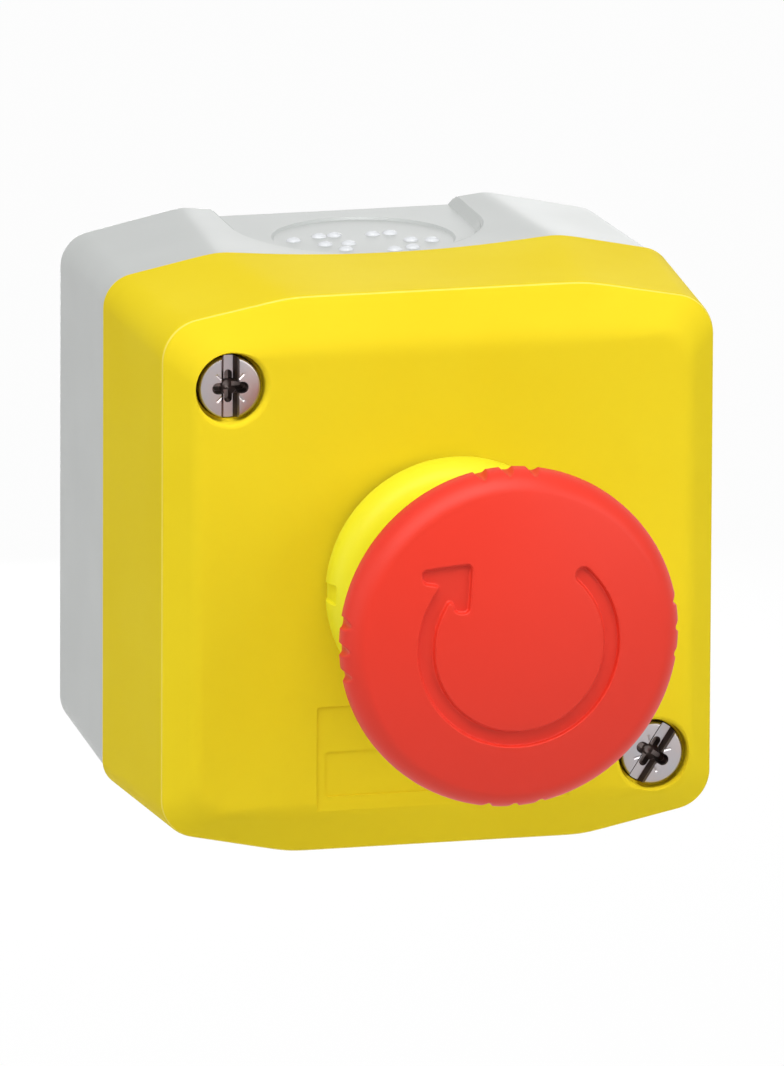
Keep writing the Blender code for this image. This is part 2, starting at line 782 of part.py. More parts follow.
def arrow_cutters(low, high):
    """The turning arrow: a round band with a round tail, and a head with three round corners."""
    middle = (ARROW_OUTER + ARROW_INNER) / 2
    half = (ARROW_OUTER - ARROW_INNER) / 2
    arc = ARROW_NECK_ANGLE - ARROW_TAIL_ANGLE
    sweep = [ARROW_TAIL_ANGLE + arc * n / ARROW_STEPS for n in range(ARROW_STEPS + 1)]
    outer = turned_arc(ARROW_OUTER, sweep)
    inner = turned_arc(ARROW_INNER, reversed(sweep))
    tail = math.radians(ARROW_TAIL_ANGLE)
    end = (middle * math.cos(tail), middle * math.sin(tail))
    round_end = []
    for step in range(1, ARC_STEPS):
        angle = tail + math.pi + math.pi * -step / ARC_STEPS
        round_end.append((end[0] + half * math.cos(angle), end[1] + half * math.sin(angle)))
    band = extrusion("band", outer + inner + round_end, low, high)
    corners = [circle(radius, SMALL_ROUND, (u, v)) for u, v, radius in ARROW_WINGS]
    head = bmesh.new()
    for level in (low, high):
        for ring in corners:
            for u, v in ring:
                head.verts.new(front_view(u, v, level))
    hull = bmesh.ops.convex_hull(head, input=head.verts)
    inside = dict.fromkeys(hull["geom_interior"] + hull["geom_unused"])
    bmesh.ops.delete(head, geom=list(inside), context="VERTS")
    mesh = bpy.data.meshes.new("arrow_head")
    head.to_mesh(mesh)
    head.free()
    return [band, bpy.data.objects.new("arrow_head", mesh)]


def turned_arc(radius, degrees):
    return [(radius * math.cos(math.radians(a)), radius * math.sin(math.radians(a))) for a in degrees]


def notch_angles():
    """Angles of the grip notches: groups centred on the four quarters."""
    angles = []
    for group in range(NOTCH_GROUPS):
        for number in range(NOTCHES_EACH):
            offset = (number - (NOTCHES_EACH - 1) / 2) * NOTCH_STEP
            angles.append(360 * group / NOTCH_GROUPS + offset)
    return angles


def make_mushroom_cap(finish, axis):
    front = DEPTH + CAP_FRONT
    rim = DEPTH + CAP_RIM
    skirt_end = rim - CAP_SKIRT_DROP
    inner = SLEEVE_RADIUS + SKIRT_CLEARANCE
    socket = STEM_RADIUS + GAP
    profile = (
        (CAP_FLAT, front),
        *round_over((CAP_RADIUS - CAP_EDGE, front - CAP_CROWN), (CAP_RADIUS, rim + CAP_BAND)),
        (CAP_RADIUS, rim),
        (CAP_RADIUS - CAP_LIP_INSET, rim - CAP_LIP_DROP),
        (inner + CAP_SKIRT_WALL, skirt_end + CAP_LIP_DROP),
        (inner + CAP_SKIRT_WALL, skirt_end),
        (inner, skirt_end),
        (inner, cap_ceiling()),
        (socket, cap_ceiling()),
        (socket, cap_ceiling() + STEM_SOCKET),
    )
    cap = turned("mushroom_cap", profile)
    notches = []
    for degrees in notch_angles():
        middle = turned_outline([(CAP_RADIUS + NOTCH_RADIUS - NOTCH_DEPTH, 0.0)], degrees)[0]
        groove = ((NOTCH_RADIUS, rim - CAP_LIP_DROP - MM), (NOTCH_RADIUS, front + MM))
        notches.append(turned("notch", groove, middle, SMALL_ROUND // 2))
    cut(cap, notches + arrow_cutters(front - ARROW_SINK, front + MM))
    return place(cap, finish, parent=axis)


def make_cap_stem(finish, axis):
    profile = ((STEM_RADIUS, stem_back()), (STEM_RADIUS, stem_front()))
    return place(turned("cap_stem", profile), finish, parent=axis)


def make_stem_seal(finish):
    low = seal_seat() + GAP
    inner = STEM_RADIUS + GAP
    seal = tube("stem_seal", inner, SEAL_BORE_RADIUS - GAP, low, low + STEM_SEAL_HEIGHT)
    return place(seal, finish)


def cam_back():
    return DEPTH + CAM_FRONT - CAM_LENGTH


def make_cam_sleeve(finish):
    """The fixed latch sleeve, with ramped notches in its front end."""
    outer = BORE_RADIUS - GAP
    front = cam_back() + CAM_LENGTH
    sleeve = tube("cam_sleeve", outer - CAM_WALL, outer, cam_back(), front)
    ramps = []
    for number in range(CAM_RAMPS):
        slot = rectangle(CAM_WALL, CAM_RAMP_WIDTH / 2, (outer - CAM_WALL / 2, 0.0))
        turned_slot = turned_outline(slot, 360 * number / CAM_RAMPS)
        ramps.append(extrusion("ramp", turned_slot, front - CAM_RAMP_DEPTH, front + MM))
    cut(sleeve, ramps)
    return place(sleeve, finish)


def make_torsion_spring(finish):
    low = cam_back() + CAM_LENGTH + GAP
    mean = (STEM_RADIUS + BORE_RADIUS) / 2
    return place(coil("torsion_spring", mean, low, seal_seat() - GAP, TORSION_TURNS), finish)


def flange_front():
    return stem_back() - GAP


def flange_back():
    return flange_front() - FLANGE_HEIGHT


def hub_back():
    return foot_back() + FOOT_HEIGHT / 2


def make_actuator(finish, axis):
    profile = (
        (HUB_RADIUS, hub_back()),
        (HUB_RADIUS, flange_back()),
        (FLANGE_RADIUS, flange_back()),
        (FLANGE_RADIUS, flange_front()),
    )
    return place(turned("actuator", profile), finish, parent=axis)


def foot_back():
    """Depth of the foot's back at rest, between the contact blocks and the operator's neck."""
    stopped = lid_front() + TRAVEL
    spare = neck_back() - FOOT_HEIGHT - stopped
    return stopped + FOOT_PLACE * spare


def make_actuator_foot(finish, axis):
    """The disc that the hub's end sits in, which pushes both carriers."""
    front = foot_back() + FOOT_HEIGHT
    bore = HUB_RADIUS + GAP
    profile = (
        (FOOT_RADIUS, foot_back()),
        (FOOT_RADIUS, front),
        (bore, front),
        (bore, hub_back() - GAP),
    )
    return place(turned("actuator_foot", profile), finish, parent=axis)


def make_spring_retainer(finish):
    low = neck_back() + GAP
    retainer = tube("spring_retainer", RETAINER_BORE, BORE_RADIUS - GAP, low, low + RETAINER_HEIGHT)
    return place(retainer, finish)


def make_return_spring(finish):
    low = neck_back() + GAP + RETAINER_HEIGHT + GAP
    mean = (HUB_RADIUS + FLANGE_RADIUS) / 2 + GAP / 2
    return place(coil("return_spring", mean, low, flange_back() - GAP, RETURN_TURNS), finish)


# Contact blocks: each opens one circuit or closes one, by where its fixed contacts lie


def block_back():
    return FLOOR + GAP


def lid_front():
    return BLOCK_FRONT


def lid_back():
    return lid_front() - LID_HEIGHT


def tip_front():
    return foot_back() - GAP


def carrier_stop():
    """Depth of the carrier body's front shoulder at rest, against the lid."""
    return lid_back() - GAP


def carrier_back():
    return carrier_stop() - CARRIER_BODY


def window_back():
    return carrier_back() + WINDOW_SHOULDER


def window_front():
    return window_back() + WINDOW_HEIGHT


def bridge_depth(opens):
    """Depth of the back of the moving contact: at the window's front if it opens, else at its back."""
    if opens:
        return window_front() - GAP - BRIDGE_THICKNESS
    return window_back() + GAP


def strip_depth(opens):
    """Depth of the back of the fixed strips: before the moving contact if it opens, else a travel behind."""
    if opens:
        return bridge_depth(opens) + BRIDGE_THICKNESS + GAP
    return bridge_depth(opens) - TRAVEL - GAP - STRIP_THICKNESS


def well_half_width():
    return BLOCK_WIDTH / 2 - WELL_WALL


def bay_start():
    """Height at which a terminal's bay begins, past its clamp plate."""
    return TERMINAL_Z - CLAMP_SIDE / 2 - GAP


def well_half_height():
    return bay_start() - BARRIER_WALL


def make_contact_housing(name, across, opens, finish):
    middle = (across, 0.0)
    body = extrusion("contact_housing_" + name, rectangle(BLOCK_WIDTH / 2, BLOCK_HEIGHT / 2, middle),
                     block_back(), lid_back() - GAP)
    foot = rectangle(BLOCK_WIDTH / 2, block_foot_end(), middle)
    join(body, [extrusion("foot", foot, block_back(), block_back() + BLOCK_FOOT_HEIGHT)])
    well = rectangle(well_half_width(), well_half_height(), middle)
    tools = [extrusion("well", well, block_back() + WELL_FLOOR, DEPTH)]
    shank = TERMINAL_SHANK_RADIUS + GAP
    bay_floor = strip_depth(opens) - GAP
    bay_half = (BLOCK_HEIGHT / 2 + MM - bay_start()) / 2
    for end in (-1, 1):
        bay_middle = (across, end * (bay_start() + bay_half))
        tools.append(extrusion("bay", rectangle(well_half_width(), bay_half, bay_middle), bay_floor, DEPTH))
        slot_middle = (across, end * (well_half_height() + bay_start()) / 2)
        slot = rectangle(STRIP_WIDTH / 2 + GAP, bay_start() - well_half_height(), slot_middle)
        tools.append(extrusion("slot", slot, bay_floor, strip_depth(opens) + STRIP_THICKNESS + GAP))
        hole = ((shank, bay_floor - TERMINAL_SHANK), (shank, DEPTH))
        tools.append(turned("hole", hole, (across, end * TERMINAL_Z), SMALL_ROUND))
    cut(body, tools)
    return place(body, finish, round_edges=False)


def make_contact_lid(name, across, finish):
    middle = (across, 0.0)
    plate = rectangle(BLOCK_WIDTH / 2, bay_start(), middle)
    lid = extrusion("contact_lid_" + name, plate, lid_back(), lid_front())
    slot = rectangle(CARRIER_STEM_WIDTH / 2 + GAP, CARRIER_STEM_HEIGHT / 2 + GAP, middle)
    cut(lid, [extrusion("slot", slot, lid_back() - MM, lid_front() + MM)])
    return place(lid, finish, round_edges=False)


def make_carrier(name, across, finish, axis):
    middle = (across, 0.0)
    half_width = well_half_width() - GAP
    body = extrusion("carrier_" + name, rectangle(half_width, CARRIER_HALF_HEIGHT, middle),
                     carrier_back(), carrier_stop())
    stem = rectangle(CARRIER_STEM_WIDTH / 2, CARRIER_STEM_HEIGHT / 2, middle)
    join(body, [extrusion("stem", stem, carrier_stop() - MM, tip_front())])
    window = [(window_back(), -CARRIER_HALF_HEIGHT - MM), (window_back(), CARRIER_HALF_HEIGHT + MM),
              (window_front(), CARRIER_HALF_HEIGHT + MM), (window_front(), -CARRIER_HALF_HEIGHT - MM)]
    half = BRIDGE_WIDTH / 2 + GAP
    cut(body, [extrusion("window", window, across - half, across + half, side_view)])
    return place(body, finish, round_edges=False, parent=axis)


def make_bridge_contact(name, across, opens, finish, axis):
    back = bridge_depth(opens)
    outline = rectangle(BRIDGE_WIDTH / 2, BRIDGE_HALF_LENGTH, (across, 0.0))
    bridge = extrusion("bridge_contact_" + name, outline, back, back + BRIDGE_THICKNESS)
    return place(bridge, finish, round_edges=False, parent=axis)


def make_contact_spring(name, across, opens, finish, axis):
    """The spring in the window that holds the moving contact to its end."""
    bridge = bridge_depth(opens)
    low = window_back() + GAP
    high = bridge - GAP
    if not opens:
        low = bridge + BRIDGE_THICKNESS + GAP
        high = window_front() - GAP
    mean = BRIDGE_WIDTH / 2 - SPRING_WIRE
    spring = coil("contact_spring_" + name, mean, low, high, CONTACT_TURNS, (across, 0.0))
    return place(spring, finish, parent=axis)


def make_carrier_spring(name, across, finish):
    low = block_back() + WELL_FLOOR + GAP
    mean = well_half_width() - 2 * SPRING_WIRE - GAP
    spring = coil("carrier_spring_" + name, mean, low, carrier_back() - GAP, CARRIER_TURNS, (across, 0.0))
    return place(spring, finish)


def make_terminal_strip(name, across, end, opens, finish):
    """A fixed contact and its terminal in one strip, with a round contact at its inner end."""
    back = strip_depth(opens)
    half = (STRIP_OUTER - STRIP_INNER) / 2
    middle = (across, end * (STRIP_INNER + half))
    strip = extrusion("terminal_strip_" + name, rectangle(STRIP_WIDTH / 2, half, middle), back,
                      back + STRIP_THICKNESS)
    radius = TERMINAL_SHANK_RADIUS + GAP
    hole = ((radius, back - MM), (radius, back + STRIP_THICKNESS + MM))
    cut(strip, [turned("hole", hole, (across, end * TERMINAL_Z), SMALL_ROUND)])
    return place(strip, finish)


def clamp_back(opens):
    return strip_depth(opens) + STRIP_THICKNESS + GAP


def make_clamp_plate(name, across, end, opens, finish):
    back = clamp_back(opens)
    middle = (across, end * TERMINAL_Z)
    plate = extrusion("clamp_plate_" + name, rectangle(CLAMP_SIDE / 2, CLAMP_SIDE / 2, middle), back,
                      back + CLAMP_THICKNESS)
    radius = TERMINAL_SHANK_RADIUS + GAP
    hole = ((radius, back - MM), (radius, back + CLAMP_THICKNESS + MM))
    cut(plate, [turned("hole", hole, middle, SMALL_ROUND)])
    return place(plate, finish)


def make_terminal_screw(name, across, end, opens, finish):
    seat = clamp_back(opens) + CLAMP_THICKNESS + GAP
    top = seat + TERMINAL_HEAD_HEIGHT
    middle = (across, end * TERMINAL_Z)
    profile = (
        (TERMINAL_SHANK_RADIUS, strip_depth(opens) - TERMINAL_SHANK),
        (TERMINAL_SHANK_RADIUS, seat),
        (TERMINAL_HEAD_RADIUS, seat),
        (TERMINAL_HEAD_RADIUS, top),
    )
    screw = turned("terminal_screw_" + name, profile, middle, SMALL_ROUND)
    slot = rectangle(TERMINAL_SLOT_WIDTH / 2, TERMINAL_HEAD_RADIUS + MM, middle)
    cut(screw, [extrusion("slot", slot, top - TERMINAL_SLOT_DEPTH, top + MM)])
    return place(screw, finish)


def make_contact_block(name, across, opens, finishes):
    axis = make_axis(name + "_carrier_axis", across, tip_front(), 0.0)
    make_contact_housing(name, across, opens, finishes["dark_plastic"])
    make_contact_lid(name, across, finishes["dark_plastic"])
    make_carrier(name, across, finishes["red_plastic" if opens else "white_plastic"], axis)
    make_bridge_contact(name, across, opens, finishes["silver_contact"], axis)
    make_contact_spring(name, across, opens, finishes["steel"], axis)
    make_carrier_spring(name, across, finishes["steel"])
    for end_name, end in (("upper", 1), ("lower", -1)):
        full_name = name + "_" + end_name
        make_terminal_strip(full_name, across, end, opens, finishes["silver_contact"])
        make_clamp_plate(full_name, across, end, opens, finishes["steel"])
        make_terminal_screw(full_name, across, end, opens, finishes["steel"])


def make_enclosure(finishes):
    make_base(finishes["grey_plastic"])
    make_cover(finishes["yellow_plastic"])
    make_cover_gasket(finishes["rubber"])
    for name, middle, slot_turn in screw_places():
        make_cover_screw(name, middle, slot_turn, finishes["steel"])
        make_screw_seal(name, middle, finishes["rubber"])
        make_insert(name, middle, finishes["brass"])


def make_operator(finishes):
    push_axis = make_axis("push_axis", 0.0, DEPTH, 0.0)
    twist_axis = make_axis("twist_axis", 0.0, DEPTH, 0.0)
    make_bezel(finishes["lemon_plastic"])
    make_bezel_gasket(finishes["rubber"])
    make_operator_nut(finishes["white_plastic"])
    make_mushroom_cap(finishes["red_plastic"], twist_axis)
    make_cap_stem(finishes["dark_plastic"], twist_axis)
    make_stem_seal(finishes["rubber"])
    make_cam_sleeve(finishes["white_plastic"])
    make_torsion_spring(finishes["steel"])
    make_actuator(finishes["white_plastic"], push_axis)
    make_actuator_foot(finishes["white_plastic"], push_axis)
    make_spring_retainer(finishes["white_plastic"])
    make_return_spring(finishes["steel"])


def main():
    for item in list(bpy.data.objects):
        bpy.data.objects.remove(item)
    finishes = make_finishes()
    make_enclosure(finishes)
    make_operator(finishes)
    make_contact_block("left", -BLOCK_PITCH / 2, True, finishes)
    make_contact_block("right", BLOCK_PITCH / 2, False, finishes)


main()
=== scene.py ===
"""Looks of a pushbutton control station: a grey base, a yellow cover and one red mushroom head.

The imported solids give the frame, in metres with +Z up. Sizes here are in millimetres, and a depth is
a distance from the wall along -Y, so a point is written as across, depth and up.
"""

import json
import logging
import math
from collections.abc import Callable, Sequence
from dataclasses import dataclass, replace
from enum import Enum

import bmesh
import bpy
import numpy as np
from mathutils import Matrix, Vector

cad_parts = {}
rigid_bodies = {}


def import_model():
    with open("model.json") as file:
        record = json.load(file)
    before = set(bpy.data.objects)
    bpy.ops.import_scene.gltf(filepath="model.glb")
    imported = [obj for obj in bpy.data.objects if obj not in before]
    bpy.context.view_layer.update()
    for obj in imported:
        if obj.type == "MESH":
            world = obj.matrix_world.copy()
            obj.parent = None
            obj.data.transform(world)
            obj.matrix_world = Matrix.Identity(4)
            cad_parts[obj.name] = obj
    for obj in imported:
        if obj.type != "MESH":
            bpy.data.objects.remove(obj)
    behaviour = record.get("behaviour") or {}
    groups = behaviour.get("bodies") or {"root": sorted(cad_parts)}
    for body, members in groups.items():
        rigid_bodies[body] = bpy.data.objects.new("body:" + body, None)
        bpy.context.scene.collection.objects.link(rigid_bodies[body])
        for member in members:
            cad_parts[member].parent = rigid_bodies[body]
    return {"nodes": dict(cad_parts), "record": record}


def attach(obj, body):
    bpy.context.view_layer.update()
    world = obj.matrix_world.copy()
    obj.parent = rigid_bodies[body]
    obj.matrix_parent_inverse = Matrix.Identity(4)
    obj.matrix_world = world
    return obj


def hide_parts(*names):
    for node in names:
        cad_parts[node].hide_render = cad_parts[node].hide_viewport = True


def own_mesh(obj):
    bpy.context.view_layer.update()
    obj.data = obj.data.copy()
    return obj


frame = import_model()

LOG = logging.getLogger("control_station")
MM = 0.001
Array = np.ndarray
Body = bpy.types.Object
Pair = tuple[float, float]
Triple = tuple[float, float, float]
Section = Sequence[Pair]

# Room between pieces that touch on the real thing, as in the solids
GAP = 0.3
# Across and up of the operator in its hole, where it has settled within the room
SETTLED = (-0.15, -0.2)
# Steps of a rounded edge, of a round corner of the enclosure and of a full turn
EDGE_STEPS = 5
CORNER_STEPS = 14
TURN_STEPS = 96
# Metres within which points are one, and under which an edge is nothing
SAME_POINT = 2e-7
NO_EDGE = 1e-7
# A flat end's outer ring, drawn in to this share of its outline
END_SHARE = 0.97
# Points of the enclosure's top: where the hip's stretch ends, and start and end of the shoulder's and the
# middle's, all as shares of the shoulder, with a count of each
HIP_POINTS = (1.16, 5)
SHOULDER_POINTS = (1.13, 0.88, 12)
MIDDLE_POINTS = (0.8, 0.0, 7)
# Edges that turn by more than this many degrees stay crisp
CRISP = 34.0


class Plane(Enum):
    """The plane that a flat outline lies in; its value gives the places of across, depth and up."""

    FRONT = (0, 2, 1)
    TOP = (0, 1, 2)


class Step(Enum):
    """What a Boolean step does with its tools."""

    CUT = "DIFFERENCE"
    JOIN = "UNION"


# Colours and materials


def linear(code: str) -> tuple[float, float, float, float]:
    """Turn an sRGB hex value to linear light.

    Args:
        code: The colour as "#rrggbb".

    Returns:
        Red, green, blue and full opacity.
    """
    srgb = np.array([int(code[place:place + 2], 16) for place in (1, 3, 5)]) / 255
    light = np.where(srgb <= 0.04045, srgb / 12.92, ((srgb + 0.055) / 1.055) ** 2.4)
    return (*light.tolist(), 1.0)


def add_node(tree: bpy.types.NodeTree, kind: str, settings: dict | None = None,
             links: dict | None = None) -> bpy.types.Node:
    """Add a node with its settings and links.

    Args:
        tree: The node tree.
        kind: The node's type name after ShaderNode.
        settings: Values by input name, input number or attribute name.
        links: Output sockets of other nodes by input name or number.

    Returns:
        The new node.
    """
    node = tree.nodes.new("ShaderNode" + kind)
    attributes = {key: value for key, value in (settings or {}).items()
                  if isinstance(key, str) and key not in node.inputs}
    for key, value in attributes.items():
        setattr(node, key, value)
    for key, value in (settings or {}).items():
        if key not in attributes:
            node.inputs[key].default_value = value
    for key, socket in (links or {}).items():
        tree.links.new(socket, node.inputs[key])
    return node


@dataclass(frozen=True)
class Finish:
    """A moulded plastic: fine grain from the tool, and a slow drift in colour and gloss."""

    slot: str
    name: str
    colour: str
    drift: str
    roughness: float
    grain: float = 0.22
    relief: float = 0.004
    drift_size: float = 16.0
    gloss_change: float = 0.06
    grain_detail: float = 2.0
    grain_roughness: float = 0.55
    drift_detail: float = 3.0
    bump_strength: float = 0.6
    ior: float = 1.585
    specular: float = 0.15
    metallic: float = 0.0
    stretch: Triple = (1.0, 1.0, 1.0)
    # Depth and half width of bands of painted light in another colour: a highlight along an edge or shade in
    # a recess
    painted_light_bands: tuple[Pair, ...] = ()
    painted_light_colour: str = "#FFFFFF"
    painted_light_share: float = 0.0

    def build(self) -> bpy.types.Material:
        """Make the material: two noises on Object coordinates drive bump, colour and roughness, and bands by
        depth paint light into the colour.

        Returns:
            The material.
        """
        material = bpy.data.materials.new(self.name)
        material.use_nodes = True
        tree = material.node_tree
        shader = tree.nodes["Principled BSDF"]
        shader.inputs["IOR"].default_value = self.ior
        shader.inputs["Specular IOR Level"].default_value = self.specular
        shader.inputs["Metallic"].default_value = self.metallic
        place = add_node(tree, "TexCoord").outputs["Object"]
        laid = add_node(tree, "Mapping", {"Scale": self.stretch}, {"Vector": place}).outputs[0]
        grain = add_node(tree, "TexNoise",
                         {"Scale": 1 / (self.grain * MM), "Detail": self.grain_detail,
                          "Roughness": self.grain_roughness}, {"Vector": laid})
        cloud = add_node(tree, "TexNoise",
                         {"Scale": 1 / (self.drift_size * MM), "Detail": self.drift_detail},
                         {"Vector": place})
        tint = add_node(tree, "Mix",
                        {"data_type": "RGBA", 6: linear(self.colour), 7: linear(self.drift)},
                        {0: cloud.outputs[0]})
        gloss = add_node(tree, "MapRange",
                         {"To Min": self.roughness - self.gloss_change,
                          "To Max": self.roughness + self.gloss_change}, {"Value": cloud.outputs[0]})
        bump = add_node(tree, "Bump", {"Strength": self.bump_strength, "Distance": self.relief * MM},
                        {"Height": grain.outputs[0]})
        colour = tint.outputs[2]
        depth = add_node(tree, "SeparateXYZ", {}, {0: place}).outputs[1]
        # Each band mixes painted light into the colour by depth: a painted highlight along an edge, or
        # painted shade down in a recess
        for middle, half in self.painted_light_bands:
            inside = add_node(tree, "Math",
                              {"operation": "COMPARE", 1: -middle * MM, 2: half * MM}, {0: depth})
            share = add_node(tree, "Math",
                             {"operation": "MULTIPLY", 1: self.painted_light_share}, {0: inside.outputs[0]})
            colour = add_node(tree, "Mix", {"data_type": "RGBA", 7: linear(self.painted_light_colour)},
                              {0: share.outputs[0], 6: colour}).outputs[2]
        tree.links.new(colour, shader.inputs["Base Color"])
        tree.links.new(gloss.outputs[0], shader.inputs["Roughness"])
        tree.links.new(bump.outputs[0], shader.inputs["Normal"])
        return material


# Polycarbonate from a finely eroded tool: an even satin with no visible grain at arm's length
GREY = Finish("grey_plastic", "moulded_polycarbonate_grey", "#B7BAB8", "#B2B5B3", 0.32, specular=0.3)
# The same resin, smoother, as the knock-out's marks come from a polished insert; its brighter colour is a
# painted highlight on the marks
POLISHED_GREY_PAINTED_HIGHLIGHT = Finish("grey_plastic", "polished_polycarbonate_grey_painted_highlight", "#DADCDF", "#D3D5D8", 0.25,
                       relief=0.001)
# Painted highlights: the cover's yellow is paler in thin bands along its rear edge and its front edge
YELLOW = Finish("yellow_plastic", "moulded_polycarbonate_yellow", "#EBD42A", "#E6CB22", 0.5, specular=0.012,
                painted_light_bands=((26.2, 0.14), (49.86, 0.1)), painted_light_colour="#FAF29A", painted_light_share=0.32)
# The operator's collar is a cleaner lemon with more gloss
LEMON = Finish("lemon_plastic", "gloss_moulded_collar_yellow", "#EAE42E", "#E4DD29", 0.36, relief=0.002,
               specular=0.12)
# The head is a soft satin red that scatters highlights widely
RED = Finish("red_plastic", "satin_moulded_cap_red", "#E13421", "#DE321F", 0.46, relief=0.003,
             specular=0.24)
CARRIER_RED = Finish("carrier_red", "moulded_carrier_red", "#B83A30", "#AD332B", 0.45)
# Glass-filled polyamide shows short fibres as a faint streak
DARK = Finish("dark_plastic", "glass_filled_polyamide", "#3A3B3D", "#2F3032", 0.5, grain=0.35,
              relief=0.012, stretch=(1.0, 0.35, 1.0))
# Acetal is waxy and slightly warm
ACETAL = Finish("white_plastic", "moulded_acetal", "#E2E0D8", "#DAD8CF", 0.35)
# Nitrile rubber is dull and takes light dust
RUBBER = Finish("rubber", "nitrile_rubber", "#232324", "#2E2E2F", 0.75, grain=0.3, relief=0.02)
# Zinc plate with a clear passivation: pinkish grey with bluish patches and a fine plating grain; painted
# shade darkens it to brown down in the drive and on the head's side and shank in its well
ZINC = Finish("screw_steel", "passivated_zinc_plate", "#B7A8A3", "#A5A7AE", 0.34, grain=0.16, relief=0.008,
              drift_size=2.2, gloss_change=0.1, metallic=1.0, painted_light_bands=((51.45, 0.4), (49.0, 1.9)),
              painted_light_colour="#5A4D46", painted_light_share=0.8)
SPRING = Finish("spring_steel", "drawn_spring_wire", "#9C9C9E", "#8C8C90", 0.28, grain=0.12, relief=0.004,
                metallic=1.0)
BRASS = Finish("brass", "turned_brass", "#C9A65A", "#BD9A50", 0.3, grain=0.14, relief=0.004,
               metallic=1.0)
# Rolled strip with silver plate: long fine lines along the strip
SILVER = Finish("silver_contact", "rolled_silver_plate", "#D5D2C8", "#C6C3BA", 0.26, grain=0.2, relief=0.004,
                metallic=1.0, stretch=(1.0, 1.0, 0.12))


# Flat outlines and profiles


def unit(vectors: Array) -> Array:
    """Scale each vector to length one."""
    return vectors / np.maximum(np.linalg.norm(vectors, axis=-1, keepdims=True), 1e-12)


def arc(middle: Pair, radius: float, start: float, end: float, steps: int) -> Array:
    """Points at equal angles on a circle's arc, from start to end in degrees."""
    turn = np.radians(np.linspace(start, end, steps + 1))
    return np.stack([middle[0] + radius * np.cos(turn), middle[1] + radius * np.sin(turn)], 1)


def filleted(corners: Sequence[Sequence[float]], closed: bool = True, steps: int = EDGE_STEPS) -> Array:
    """Round the corners of a flat polyline.

    A corner becomes the arc that touches both of its sides, worked out by turning one radius to the other.

    Args:
        corners: Across, up and radius of each corner; a radius left out is zero.
        closed: Whether the last corner joins the first.
        steps: Steps of each arc.

    Returns:
        The points, one row each.
    """
    places = np.array([corner[:2] for corner in corners], float)
    parts = []
    for number, corner in enumerate(corners):
        here = places[number]
        radius = corner[2] if len(corner) > 2 else 0.0
        if not radius or (not closed and number in (0, len(corners) - 1)):
            parts.append(here[None])
            continue
        back = unit(places[number - 1] - here)
        ahead = unit(places[(number + 1) % len(corners)] - here)
        half = math.acos(float(np.clip(back @ ahead, -1, 1))) / 2
        middle = here + unit(back + ahead) * radius / math.sin(half)
        reach = radius / math.tan(half)
        sweep = math.pi - 2 * half
        share = np.linspace(0, 1, steps + 1)[:, None]
        first = here + back * reach - middle
        last = here + ahead * reach - middle
        turned = np.sin((1 - share) * sweep) * first + np.sin(share * sweep) * last
        parts.append(middle + turned / math.sin(sweep))
    return np.concatenate(parts)


def offset(outline: Array, distance: float) -> Array:
    """Move each side of a closed anticlockwise outline outwards by a distance.

    A point moves along the mean normal of its two sides, further where they turn: by the distance
    over the cosine of half the turn.

    Args:
        outline: The flat outline.
        distance: How far it grows; it shrinks where this is negative.

    Returns:
        The new outline.
    """
    side = unit(np.roll(outline, -1, 0) - outline)
    normal = np.stack([side[:, 1], -side[:, 0]], 1)
    mean = unit(normal + np.roll(normal, 1, 0))
    return outline + distance * mean / np.maximum(np.sum(mean * normal, 1, keepdims=True), 0.5)


def rectangle(half_u: float, half_v: float, radius: float = 0.0, middle: Pair = (0.0, 0.0)) -> Array:
    """An anticlockwise rectangle with rounded corners."""
    return filleted([(middle[0] + u * half_u, middle[1] + v * half_v, radius)
                     for u, v in ((1, -1), (1, 1), (-1, 1), (-1, -1))])


def stepped(low: float, *steps: Pair) -> list[Pair]:
    """Profile of a round body whose radius changes in steps.

    Args:
        low: Depth of its rear end.
        steps: Radius and end depth of each step.

    Returns:
        Radius and depth pairs, from the axis back to it.
    """
    points = [(0.0, low)]
    for radius, high in steps:
        points += [(radius, points[-1][1]), (radius, high)]
    return points + [(0.0, points[-1][1])]


def at_depth(flat: Array, depth: float) -> Array:
    """Place a flat outline upright at a depth: across, depth and up of each point."""
    return np.column_stack([flat[:, 0], np.full(len(flat), depth), flat[:, 1]])


def turned(outline: Array, degrees: float, middle: Pair = (0.0, 0.0)) -> Array:
    """Turn an outline about its own origin, then move it to its middle."""
    c, s = math.cos(math.radians(degrees)), math.sin(math.radians(degrees))
    return outline @ np.array([[c, s], [-s, c]]) + np.array(middle)


def rounded_sink(floor: float, top: float, foot: float, rim: float, spare: float = 1.0) -> list[Pair]:
    """Section of a cutter: a round foot, an upright wall and a rim that flares to round the edge it cuts.

    Args:
        floor: Level of the cut's floor.
        top: Level of the surface that is cut.
        foot: Radius between floor and wall.
        rim: Radius of the edge.
        spare: How far the cutter goes on past the surface.

    Returns:
        Offset and level pairs, from the floor up.
    """
    way = 1 if top > floor else -1
    turn = np.linspace(0, math.pi / 2, EDGE_STEPS + 1)
    low = [(-foot * (1 - math.sin(a)), floor + way * foot * (1 - math.cos(a))) for a in turn]
    high = [(rim * (1 - math.cos(a)), top - way * rim * (1 - math.sin(a))) for a in turn]
    return low + high + [(rim, top + way * spare)]


# Meshes from grids of points


def new_mesh(name: str, points: Array, faces: list[list[int]]) -> Body:
    """Put points in millimetres and faces into a mesh, merge doubles and turn the faces outwards.

    Args:
        name: The object's name.
        points: Across, depth and up of each point.
        faces: Point numbers of each face.

    Returns:
        The new object, not yet linked to the scene.
    """
    mesh = bpy.data.meshes.new(name)
    mesh.from_pydata((points * (MM, -MM, MM)).tolist(), [], faces)
    tidy(mesh)
    return bpy.data.objects.new(name, mesh)


